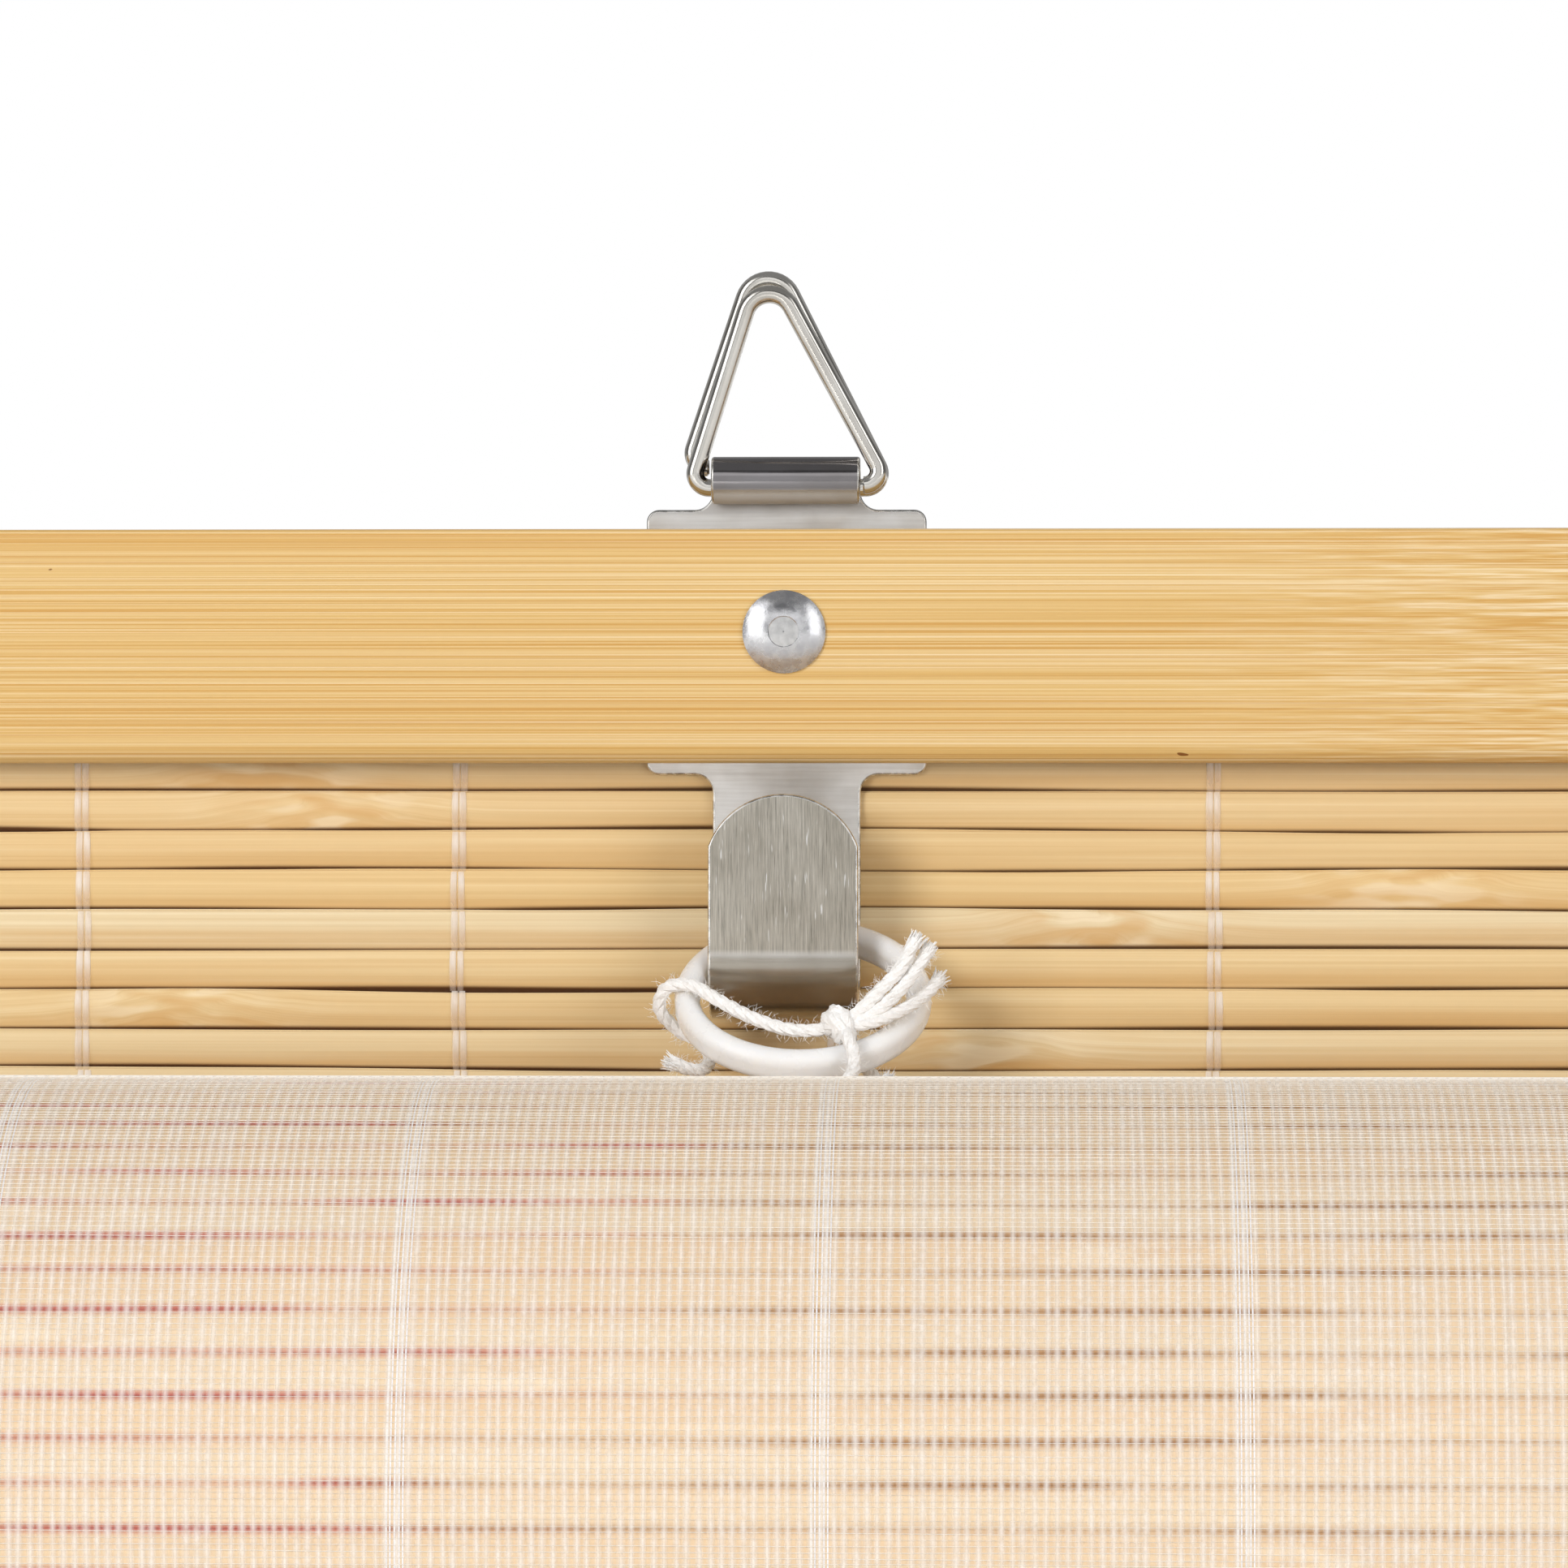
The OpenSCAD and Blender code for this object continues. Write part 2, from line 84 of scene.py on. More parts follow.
# Places taken from the frame, and how many slats hang and lie in the roll's outer turn
SKIN_LAP = 2
mat_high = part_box("hanging_slats")[1]
rod_low, rod_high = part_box("bottom_rod")
batten_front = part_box("front_batten")[0].y
half_width = mat_high.x
mat_back = mat_high.y
mat_top = mat_high.z + GROOVE_W / 2
roll_y = (rod_low.y + rod_high.y) / 2
roll_z = (rod_low.z + rod_high.z) / 2
roll_r = mat_back - roll_y
hung_len = mat_top - roll_z
hung_count = int(hung_len / SLAT_PITCH)
roll_skin_end = hung_count + int(2 * math.pi * roll_r / SLAT_PITCH) + SKIN_LAP


# Points of the mat: s runs along it from its top edge, d goes in from its lined face
def spiral_angle(s):
    return (roll_r - math.sqrt(max(0.0, roll_r ** 2 - TURN_T * s / math.pi))) * 2 * math.pi / TURN_T


def mat_point(s, d):
    if s <= hung_len:
        return Vector((mat_back - d, mat_top - s))
    angle = spiral_angle(s - hung_len)
    r = roll_r - TURN_T * angle / (2 * math.pi) - d
    return Vector((roll_y + r * math.cos(angle), roll_z - r * math.sin(angle)))


def mat_frame(s):
    """A point of the lined face, the direction along the mat there, and the direction into it."""
    step = SLAT_PITCH / 8
    along = (mat_point(s + step, 0) - mat_point(s - step, 0)).normalized()
    inward = (mat_point(s, SLAT_T) - mat_point(s, 0)).normalized()
    return mat_point(s, 0), along, inward


# Objects and meshes
def new_object(name, data):
    made = bpy.data.objects.new(name, data)
    bpy.context.scene.collection.objects.link(made)
    return made


def add_piece(name, mesh, materials, slot, body="blind", sharp=40):
    """A smooth-shaded piece that rides on a body; edges stay sharp from that many degrees."""
    mesh.polygons.foreach_set("use_smooth", [True] * len(mesh.polygons))
    mesh.set_sharp_from_angle(angle=math.radians(sharp))
    for material in materials:
        mesh.materials.append(material)
    piece = new_object(name, mesh)
    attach(piece, body)
    return piece


class Shape:
    """Points, faces and values at the points of a mesh that grows piece by piece."""

    def __init__(self):
        self.points = []
        self.faces = []
        self.values = {}

    def loft(self, rings, closed=True, caps=True, **values):
        """A skin through rings of points; a value is one number for a ring, or one for each of its points."""
        first = len(self.points)
        size = len(rings[0])
        for ring in rings:
            self.points.extend(tuple(p) for p in ring)
        for name, per_ring in values.items():
            kept = self.values.setdefault(name, [])
            kept.extend([0.0] * (first - len(kept)))
            for value in per_ring:
                kept.extend(value if hasattr(value, "__len__") else [value] * size)
        span = size if closed else size - 1
        for i in range(len(rings) - 1):
            a = first + i * size
            for k in range(span):
                n = (k + 1) % size
                self.faces.append((a + k, a + n, a + size + n, a + size + k))
        if caps and closed:
            last = first + (len(rings) - 1) * size
            self.faces.append(tuple(first + k for k in reversed(range(size))))
            self.faces.append(tuple(last + k for k in range(size)))

    def piece(self, name, material, slot, **how):
        """The mesh as a piece; how is what else add_piece takes."""
        mesh = bpy.data.meshes.new(name)
        mesh.from_pydata(self.points, [], self.faces)
        for value_name, kept in self.values.items():
            kept.extend([0.0] * (len(self.points) - len(kept)))
            attribute = mesh.attributes.new(value_name, "FLOAT", "POINT")
            attribute.data.foreach_set("value", kept)
        return add_piece(name, mesh, [material], slot, **how)


def frames_along(line):
    """Directions across a line of points, carried along it without twist."""
    last = len(line) - 1
    runs = [(line[min(last, i + 1)] - line[max(0, i - 1)]).normalized() for i in range(last + 1)]
    up = runs[0].orthogonal().normalized()
    frames = []
    for run in runs:
        up = (up - run * up.dot(run)).normalized()
        frames.append((up, run.cross(up)))
    return frames


def around(u, v, turn):
    """A direction square to a line, turned from u towards v."""
    return u * math.cos(turn) + v * math.sin(turn)


def tube_rings(line, radius, sides):
    """Rings of points round a line; radius is one number or one for every point."""
    radii = radius if hasattr(radius, "__len__") else [radius] * len(line)
    turns = [2 * math.pi * k / sides for k in range(sides)]
    return [
        [p + r * around(u, v, turn) for turn in turns]
        for p, r, (u, v) in zip(line, radii, frames_along(line))
    ]


def curve_through(points, steps):
    """A smooth curve through points, with that many steps from one to the next."""
    last = len(points) - 1
    line = []
    for i in range(last):
        a, b, c, d = points[max(0, i - 1)], points[i], points[i + 1], points[min(last, i + 2)]
        for k in range(steps):
            t = k / steps
            line.append(b + 0.5 * t * (c - a + t * (2 * a - 5 * b + 4 * c - d + t * (3 * (b - c) + d - a))))
    line.append(points[last])
    return line


WAVE_GAIN = 1.6


def wave(rng, shortest, longest, parts=4):
    """A smooth random function of a length, within about -1 to 1."""
    terms = [
        (2 * math.pi / rng.uniform(shortest, longest), rng.uniform(0, 2 * math.pi), rng.uniform(0.4, 1))
        for _ in range(parts)
    ]
    total = sum(size for _, _, size in terms)

    def height(x):
        return sum(size * math.sin(rate * x + phase) for rate, phase, size in terms) / total * WAVE_GAIN

    return height


# Materials
def linear(red, green, blue):
    """A colour given as 0 to 255 on a screen."""
    return tuple(
        (c / 255 / 12.92) if c <= 10 else ((c / 255 + 0.055) / 1.055) ** 2.4 for c in (red, green, blue)
    ) + (1.0,)


class Graph:
    """A material with one principled shader, and short ways to make its nodes."""

    def __init__(self, name):
        self.material = bpy.data.materials.new(name)
        self.material.use_nodes = True
        self.tree = self.material.node_tree
        self.shader = self.tree.nodes["Principled BSDF"]

    def put(self, socket, value):
        if isinstance(value, bpy.types.NodeSocket):
            self.tree.links.new(value, socket)
        else:
            socket.default_value = value

    def set(self, **inputs):
        for name, value in inputs.items():
            self.put(self.shader.inputs[name.replace("_", " ")], value)
        return self

    def place(self, scale=1, offset=(0, 0, 0)):
        """The piece's own coordinates in metres, times one scale or three, and with an offset."""
        where = self.tree.nodes.new("ShaderNodeTexCoord").outputs["Object"]
        return self.scaled(where, scale if hasattr(scale, "__len__") else (scale,) * 3, offset)

    def scaled(self, vector, scale, offset=(0, 0, 0)):
        node = self.tree.nodes.new("ShaderNodeMapping")
        self.put(node.inputs["Vector"], vector)
        node.inputs["Scale"].default_value = scale
        node.inputs["Location"].default_value = offset
        return node.outputs["Vector"]

    def value_at_points(self, name):
        node = self.tree.nodes.new("ShaderNodeAttribute")
        node.attribute_name = name
        return node.outputs["Fac"]

    def joined(self, x, y, z):
        node = self.tree.nodes.new("ShaderNodeCombineXYZ")
        for socket, value in zip(node.inputs, (x, y, z)):
            self.put(socket, value)
        return node.outputs["Vector"]

    def split(self, vector):
        node = self.tree.nodes.new("ShaderNodeSeparateXYZ")
        self.put(node.inputs["Vector"], vector)
        return node.outputs

    def noise(self, vector, detail=2.0, roughness=0.5):
        node = self.tree.nodes.new("ShaderNodeTexNoise")
        self.put(node.inputs["Vector"], vector)
        node.inputs["Scale"].default_value = 1.0
        node.inputs["Detail"].default_value = detail
        node.inputs["Roughness"].default_value = roughness
        return node.outputs["Fac"]

    def math(self, operation, a, b=0.0):
        node = self.tree.nodes.new("ShaderNodeMath")
        node.operation = operation
        self.put(node.inputs[0], a)
        self.put(node.inputs[1], b)
        return node.outputs["Value"]

    def span(self, value, low, high, to_low=0.0, to_high=1.0):
        """Value as it goes from low to high, mapped and kept within the new limits."""
        node = self.tree.nodes.new("ShaderNodeMapRange")
        for name, given in (("Value", value), ("From Min", low), ("From Max", high),
                            ("To Min", to_low), ("To Max", to_high)):
            self.put(node.inputs[name], given)
        return node.outputs["Result"]

    def ramp(self, value, *stops):
        """Colours at places from 0 to 1."""
        node = self.tree.nodes.new("ShaderNodeValToRGB")
        while len(node.color_ramp.elements) < len(stops):
            node.color_ramp.elements.new(0.5)
        for element, (at, colour) in zip(node.color_ramp.elements, stops):
            element.position = at
            element.color = colour
        self.put(node.inputs["Fac"], value)
        return node.outputs["Color"]

    def mix(self, share, a, b, how="MIX"):
        node = self.tree.nodes.new("ShaderNodeMix")
        node.data_type = "RGBA"
        node.blend_type = how
        self.put(node.inputs["Factor"], share)
        colour_a, colour_b, result = 6, 7, 2
        self.put(node.inputs[colour_a], a)
        self.put(node.inputs[colour_b], b)
        return node.outputs[result]

    def bump(self, height, strength, distance):
        node = self.tree.nodes.new("ShaderNodeBump")
        self.put(node.inputs["Height"], height)
        node.inputs["Strength"].default_value = strength
        node.inputs["Distance"].default_value = distance
        self.put(self.shader.inputs["Normal"], node.outputs["Normal"])
        return self


# Nodes of the bamboo, round which the battens' grain breaks up into dashes
BAMBOO_NODE_SPACING = 0.31
BAMBOO_NODE_AT = bracket_x["left"] + 0.095
BAMBOO_NODE_REACH = 0.05


def batten_bamboo():
    g = Graph("batten_bamboo")
    x = g.split(g.place())["X"]
    turn = g.math("DIVIDE", g.math("SUBTRACT", x, BAMBOO_NODE_AT), BAMBOO_NODE_SPACING)
    off = g.math("ABSOLUTE", g.math("SUBTRACT", g.math("FRACT", g.math("ADD", turn, 0.5)), 0.5))
    flame = g.span(off, 0.0, BAMBOO_NODE_REACH / BAMBOO_NODE_SPACING, 1.0, 0.0)
    fibre = g.noise(g.place((4, 600, 3600)), detail=3, roughness=0.6)
    dash = g.noise(g.place((105, 500, 3300)))
    plain = g.ramp(fibre, (0.34, linear(206, 158, 85)), (0.46, linear(218, 181, 114)),
                   (0.57, linear(224, 191, 132)), (0.70, linear(235, 211, 165)))
    dashed = g.ramp(dash, (0.34, linear(208, 160, 86)), (0.46, linear(218, 180, 114)),
                    (0.57, linear(226, 195, 140)), (0.70, linear(239, 218, 180)))
    band = g.noise(g.place((2.2, 40, 150)))
    grained = g.mix(flame, plain, dashed)
    toned = g.mix(g.span(band, 0.35, 0.7, 0.0, 0.2), grained, linear(236, 204, 146), "MULTIPLY")
    line = g.noise(g.place((2.5, 900, 6800)), detail=1)
    lined = g.mix(g.span(line, 0.56, 0.68, 0.0, 0.65), toned, linear(196, 146, 76))
    pale = g.noise(g.place((3.5, 900, 5600), (3, 0, 0)), detail=1)
    streaked = g.mix(g.span(pale, 0.56, 0.68, 0.0, 0.65), lined, linear(238, 214, 172))
    speck = g.noise(g.place((300, 300, 800)), detail=0)
    spotted = g.mix(g.span(speck, 0.89, 0.9), streaked, linear(132, 84, 40))
    g.set(Base_Color=spotted, Roughness=g.span(fibre, 0.3, 0.7, 0.4, 0.52), Specular_IOR_Level=0.35)
    return g.bump(g.mix(0.5, fibre, line), 0.2, 0.0002).material


# Where along the width the edges of the slats are reddest, and how far apart
RED_AT = -0.262
RED_PITCH = 0.27


def slat_bamboo(name, grain, wash, edge_brown_and_gap_shade, edge_ochre_and_gap_shade):
    """Split culm: grain is its contrast, wash pales it, each slat turns tan towards one edge, partly its own
    layering and partly painted shade, and its edges turn from brown to ochre and back along the slat, partly
    their own colour and partly painted shade of the gaps."""
    g = Graph(name)
    along = g.value_at_points("along")
    drop = g.value_at_points("drop")
    tone = g.value_at_points("tone")
    knot = g.value_at_points("knot")
    fall = g.value_at_points("fall")
    swirl = g.noise(g.joined(g.math("MULTIPLY", along, 110), g.math("MULTIPLY", drop, 420), tone), detail=1)
    bent = g.math("ADD", drop, g.math("MULTIPLY", knot, g.math("MULTIPLY", swirl, 0.005)))
    where = g.joined(along, bent, tone)
    fibre = g.noise(g.scaled(where, (9, 2000, 40)), detail=3, roughness=0.55)
    broad = g.noise(g.scaled(where, (11, 420, 30)))
    streak = g.noise(g.scaled(where, (8, 3600, 70)), detail=1)
    striped = g.ramp(fibre, (0.30, linear(216, 193, 149)), (0.47, linear(228, 209, 170)),
                     (0.58, linear(234, 217, 181)), (0.72, linear(243, 233, 206)))
    body = g.mix(grain, linear(237, 220, 183), striped)
    toned = g.mix(g.span(tone, 0.0, 1.5, 0.0, 0.7), body, linear(250, 222, 166), "MULTIPLY")
    # Painted shade: darker and tan towards the edge further along the mat (the lower edge on the hanging
    # slats), partly the culm's own layering, with broad mottle
    low = g.math("ADD", fall, g.span(broad, 0.3, 0.7, -0.3, 0.3))
    mottled_and_shaded = g.mix(g.span(low, 0.3, 1.1, 0.0, 0.72), toned, linear(216, 172, 110))
    lined = g.mix(g.span(streak, 0.62, 0.74, 0.0, 0.3 * grain), mottled_and_shaded, linear(200, 154, 92))
    ringed = g.mix(g.math("MULTIPLY", knot, g.span(swirl, 0.5, 0.62, 0.0, 0.6)), lined, linear(216, 170, 106))
    pale = g.mix(g.math("MULTIPLY", knot, g.span(swirl, 0.48, 0.4, 0.0, 0.5)), ringed, linear(250, 234, 202))
    washed = g.mix(wash, pale, linear(236, 212, 186))
    drift = g.noise(g.joined(g.math("MULTIPLY", along, 20), g.math("MULTIPLY", drop, 40), 0.0), detail=1)
    turn = g.math("MULTIPLY", g.math("SUBTRACT", along, RED_AT), 2 * math.pi / RED_PITCH)
    red = g.math("ADD", g.math("COSINE", turn), g.span(drift, 0.3, 0.7, -0.5, 0.5))
    # Painted shade: the faces that meet the next slat turn dark brown, partly their own brown and partly the
    # shade in the gaps between slats
    brown = g.mix(g.span(red, 0.1, 0.5), edge_ochre_and_gap_shade, edge_brown_and_gap_shade)
    edges_browned_and_gap_shaded = g.mix(g.span(g.value_at_points("edge"), 0.0, 0.9, 0.0, 0.95), washed, brown)
    g.set(Base_Color=edges_browned_and_gap_shaded, Roughness=g.span(fibre, 0.3, 0.7, 0.4, 0.56), Specular_IOR_Level=0.35)
    return g.bump(g.mix(0.5, fibre, streak), 0.25 * grain, 0.0002).material


def gauze_veil():
    g = Graph("gauze_veil")
    slub = g.noise(g.place(500))
    g.set(Base_Color=g.ramp(slub, (0.35, linear(248, 242, 234)), (0.65, linear(254, 250, 244))),
          Roughness=0.9, Alpha=0.06, Specular_IOR_Level=0.0)
    return g.material


def gauze_yarn():
    """Soft warp yarn that thins out towards its edges."""
    g = Graph("gauze_warp")
    slub = g.noise(g.place(900))
    full = g.math("SUBTRACT", 1.0, g.value_at_points("edge"))
    thick = g.math("MULTIPLY", full, g.span(slub, 0.3, 0.7, 0.405, 0.594))
    g.set(Base_Color=g.ramp(slub, (0.35, linear(250, 245, 238)), (0.65, linear(255, 253, 250))),
          Roughness=0.9, Alpha=thick, Specular_IOR_Level=0.0)
    return g.material


def fine_thread(name, pale, deep):
    """Fine matt thread, as dense at its edges."""
    g = Graph(name)
    slub = g.noise(g.place(1400))
    g.set(Base_Color=g.ramp(slub, (0.35, deep), (0.65, pale)), Roughness=0.85, Specular_IOR_Level=0.1)
    return g.material


def thread_nylon():
    """Clear strands, thinner towards their edges, and whiter and denser near a slat's upper edge as a painted
    highlight.
    """
    g = Graph("thread_nylon")
    cloud = g.noise(g.place((900, 900, 200)), detail=1)
    full = g.span(g.value_at_points("edge"), 0.0, 1.0, 1.0, 0.3)
    shine = g.math("MULTIPLY", g.value_at_points("shine"), g.span(cloud, 0.3, 0.7, 0.6, 1.0))
    thick = g.math("MULTIPLY", full, g.span(shine, 0.0, 1.0, 0.3, 0.72))
    g.set(Base_Color=g.ramp(shine, (0.1, linear(234, 214, 196)), (0.8, linear(255, 250, 244))),
          Roughness=g.span(cloud, 0.3, 0.7, 0.22, 0.34), Alpha=thick, IOR=1.53)
    return g.material


# Places on the hook plate, in depth or height, and over how much its finish changes there
LEG_DEPTH = -0.0205
LEG_BLEND = 0.001
LEG_FOOT = -0.0372
FOOT_BLEND = 0.0004
TUBE_FOOT = 0.0187
TUBE_BLEND = 0.0006
NECK_FOOT = 0.0162
NECK_BLEND = 0.0003
NECK_LAP = 0.0002


def plate_steel():
    """Satin sheet, scratched upright on the leg, smoother in the bend, dull below the tube, and polished on
    it, where its colour is darkened as a painted dark reflection."""
    g = Graph("plate_steel")
    at = g.split(g.place())
    leg = g.math("MULTIPLY", g.span(at["Y"], LEG_DEPTH - LEG_BLEND, LEG_DEPTH + LEG_BLEND, 1.0, 0.0),
                 g.span(at["Z"], LEG_FOOT - FOOT_BLEND, LEG_FOOT + FOOT_BLEND))
    bend = g.span(at["Z"], LEG_FOOT - 2 * FOOT_BLEND, LEG_FOOT, 1.0, 0.0)
    tube = g.span(at["Z"], TUBE_FOOT - TUBE_BLEND, TUBE_FOOT + TUBE_BLEND)
    neck = g.math("MULTIPLY", g.span(at["Z"], NECK_FOOT - NECK_BLEND, NECK_FOOT + NECK_BLEND),
                  g.span(at["Z"], TUBE_FOOT - NECK_LAP, TUBE_FOOT + TUBE_BLEND, 1.0, 0.0))
    scratch = g.noise(g.place((9000, 500, 240)), detail=3, roughness=0.7)
    brushing = g.noise(g.place((90, 900, 2600)))
    cloud = g.noise(g.place(160), detail=3)
    nick = g.noise(g.place((3800, 500, 330), (5, 0, 0)), detail=1)
    rough = g.ramp(scratch, (0.30, linear(156, 151, 141)), (0.46, linear(196, 190, 178)),
                   (0.58, linear(208, 202, 190)), (0.74, linear(234, 229, 220)))
    glinting = g.mix(g.span(nick, 0.71, 0.77), rough, linear(252, 251, 249))
    # Painted dark reflection: the tube's colour is darker than the rest of the sheet
    smooth = g.mix(tube, g.ramp(brushing, (0.3, linear(238, 236, 233)), (0.7, linear(250, 249, 247))),
                   linear(156, 153, 155))
    dull = g.mix(neck, smooth, linear(196, 195, 194))
    bent = g.mix(bend, dull, linear(186, 180, 170))
    faced = g.mix(leg, bent, glinting)
    worn = g.mix(g.span(cloud, 0.4, 0.7, 0.0, 0.35), faced, linear(200, 195, 186), "MULTIPLY")
    plain = g.math("SUBTRACT", g.span(tube, 0.0, 1.0, 0.42, 0.14), g.math("MULTIPLY", leg, 0.04))
    satin = g.math("SUBTRACT", plain, g.math("MULTIPLY", bend, 0.18))
    g.set(Base_Color=worn, Metallic=g.span(neck, 0.0, 1.0, 1.0, 0.35), Roughness=satin)
    return g.bump(g.mix(leg, brushing, scratch), 0.1, 0.0001).material


def rim_steel():
    """The rolled edge of the sheet, paler than the sheet in patches: a painted highlight along the edges."""
    g = Graph("rim_steel")
    highlight_patches = g.noise(g.place(900))
    # Painted highlight: a paler colour than the sheet, in patches
    g.set(Base_Color=g.ramp(highlight_patches, (0.36, linear(188, 185, 180)), (0.64, linear(246, 244, 240))),
          Metallic=1.0, Roughness=g.span(highlight_patches, 0.3, 0.7, 0.16, 0.36))
    return g.material


def ring_wire():
    g = Graph("ring_wire")
    cloud = g.noise(g.place(160))
    g.set(Base_Color=g.ramp(cloud, (0.35, linear(222, 218, 211)), (0.65, linear(236, 233, 227))),
          Metallic=1.0, Roughness=g.span(cloud, 0.3, 0.7, 0.13, 0.2))
    return g.bump(g.noise(g.place(500), detail=1), 0.02, 0.0001).material


def rivet_alloy(name, pale, deep, roughness, dented):
    g = Graph(name)
    dent = g.noise(g.place(900), detail=3)
    g.set(Base_Color=g.ramp(dent, (0.35, deep), (0.65, pale)), Metallic=1.0,
          Roughness=g.span(dent, 0.3, 0.7, roughness, roughness + 0.12))
    return g.bump(dent, dented, 0.0003).material


def ring_plastic():
    g = Graph("ring_plastic")
    cloud = g.noise(g.place(260), detail=3)
    g.set(Base_Color=g.ramp(cloud, (0.35, linear(250, 250, 250)), (0.65, linear(254, 254, 253))),
          Roughness=g.span(cloud, 0.3, 0.7, 0.2, 0.34), Subsurface_Weight=0.3, IOR=1.49)
    g.shader.inputs["Subsurface Radius"].default_value = (0.004, 0.0036, 0.003)
    g.shader.inputs["Subsurface Scale"].default_value = 1.0
    return g.bump(g.noise(g.place(900), detail=1), 0.05, 0.0002).material


def cotton_cord():
    g = Graph("cotton_cord")
    lint = g.noise(g.place(3000), detail=3)
    g.set(Base_Color=g.ramp(lint, (0.32, linear(245, 243, 240)), (0.62, linear(254, 253, 252))),
          Roughness=0.92, Specular_IOR_Level=0.1, Sheen_Weight=0.25)
    return g.bump(lint, 0.5, 0.0002).material


BATTEN = batten_bamboo()
# Edge colours: partly the edges' own brown and partly painted shade of the gaps between slats
SLAT = slat_bamboo("slat_bamboo", grain=0.5, wash=0.0,
                   edge_brown_and_gap_shade=linear(98, 58, 32), edge_ochre_and_gap_shade=linear(106, 72, 42))
SLAT_BACK = slat_bamboo("slat_back_bamboo", grain=1.0, wash=0.5,
                        edge_brown_and_gap_shade=linear(186, 78, 64), edge_ochre_and_gap_shade=linear(172, 122, 66))
VEIL = gauze_veil()
WARP = gauze_yarn()
WEFT = fine_thread("gauze_weft", pale=linear(250, 245, 236), deep=linear(242, 235, 224))
BAND = fine_thread("thread_band", pale=linear(248, 247, 250), deep=linear(238, 237, 242))
NYLON = thread_nylon()
STEEL = plate_steel()
RIM = rim_steel()
WIRE = ring_wire()
ALLOY = rivet_alloy("rivet_alloy", pale=linear(238, 238, 240), deep=linear(218, 218, 222),
                    roughness=0.2, dented=0.12)
PRESSED = rivet_alloy("pressed_alloy", pale=linear(240, 240, 240), deep=linear(214, 214, 214),
                      roughness=0.4, dented=0.5)
PIN = rivet_alloy("pin_steel", pale=linear(196, 196, 198), deep=linear(164, 164, 167),
                  roughness=0.34, dented=0.2)
PLASTIC = ring_plastic()
COTTON = cotton_cord()

# Camera at the photograph's angle
CAMERA_AIM = Vector((bracket_x["left"] - 0.0004, -0.0076, -0.0168))
CAMERA_OFF = Vector((0.03, -0.85, 0.0))
FRAME_WIDTH = 0.1932
SENSOR = 36.0
camera_data = bpy.data.cameras.new("camera")
camera_data.sensor_width = SENSOR
camera_data.lens = SENSOR * CAMERA_OFF.length / FRAME_WIDTH


def aimed(name, data, offset):
    """A camera or light that looks at the photograph's middle from an offset."""
    made = new_object(name, data)
    made.location = CAMERA_AIM + offset
    made.rotation_mode = "QUATERNION"
    made.rotation_quaternion = (-offset).to_track_quat("-Z", "Y")
    return made


bpy.context.scene.camera = aimed("camera", camera_data, CAMERA_OFF)

# Tie cords: routes as in the part's source, sideways from the bracket's axis, depth and height
CORD_D = 0.002
TIE_ROUTE = [
    (0.0084, -0.0424, -0.0518), (0.009, -0.0408, -0.0508), (0.009, -0.0394, -0.049),
    (0.0082, -0.0376, -0.0468), (0.0072, -0.035, -0.0456), (0.004, -0.0342, -0.0462),
    (0.0004, -0.033, -0.046), (-0.0038, -0.0316, -0.0446), (-0.0076, -0.03, -0.0427),
    (-0.0108, -0.0282, -0.041), (-0.0139, -0.0268, -0.0414), (-0.0148, -0.0252, -0.044),
    (-0.0126, -0.024, -0.0466), (-0.0098, -0.0252, -0.048), (-0.0086, -0.028, -0.0499),
    (-0.0094, -0.031, -0.0511), (-0.0112, -0.0332, -0.0508), (-0.013, -0.0346, -0.05),
]
KNOT_AT = (0.0072, -0.035, -0.0456)
TAIL_ROUTES = {
    "upper": [KNOT_AT, (0.0094, -0.0352, -0.044), (0.012, -0.0346, -0.0414), (0.0144, -0.0336, -0.0388),
              (0.0162, -0.033, -0.0354)],
    "middle": [KNOT_AT, (0.0106, -0.0352, -0.0446), (0.0136, -0.0344, -0.0422), (0.016, -0.0328, -0.0394),
               (0.0178, -0.0314, -0.0366)],
    "outer": [KNOT_AT, (0.0108, -0.0354, -0.0452), (0.0146, -0.0336, -0.0438), (0.0174, -0.0312, -0.042),
              (0.019, -0.0289, -0.0402)],
    "lower": [KNOT_AT, (0.008, -0.0316, -0.046), (0.0088, -0.0302, -0.0486), (0.0108, -0.0312, -0.0514),
              (0.0124, -0.0342, -0.0526), (0.013, -0.0366, -0.052)],
}
PLY_COUNT = 3
PLY_PITCH = 0.0046
PLY_R = 0.0006
PLY_OFF = 0.00026
PLY_SIDES = 7
CURVE_STEPS = 8

# Wraps of the knot, each with its axis and radius
KNOT_WRAPS = [((1, 0.1, 0.1), 0.0014), ((0.7, 0.1, 0.7), 0.0017), ((0.1, 0.3, 1), 0.0012)]
KNOT_TURNS = 1.5
KNOT_STEPS = 36
KNOT_ADVANCE = CORD_D * 0.9

# Fibres at the cords' ends and hairs along them; a taper is places along one and shares of its radius
FRAY_FIBRES = 90
FRAY_LENGTH = 0.0017
FRAY_SHARES = (0.5, 1.1)
FRAY_BENDS = (-0.1, 0.35)
FRAY_SPREAD = CORD_D * 0.42
FRAY_ROOT = 0.0008
FRAY_R = 0.00009
FRAY_SIDES = 4
FRAY_TAPER = ((0, 1.3), (0.4, 1.2), (0.75, 1.0), (1, 0.5))
CORD_HAIRS = 700
TAIL_HAIRS = 260
HAIR_LENGTHS = (0.0003, 0.001)
HAIR_ROOT = CORD_D * 0.45
HAIR_R = 0.000022
HAIR_SIDES = 3
HAIR_TAPER = ((0, 1.0), (0.5, 1.0), (1, 0.5))


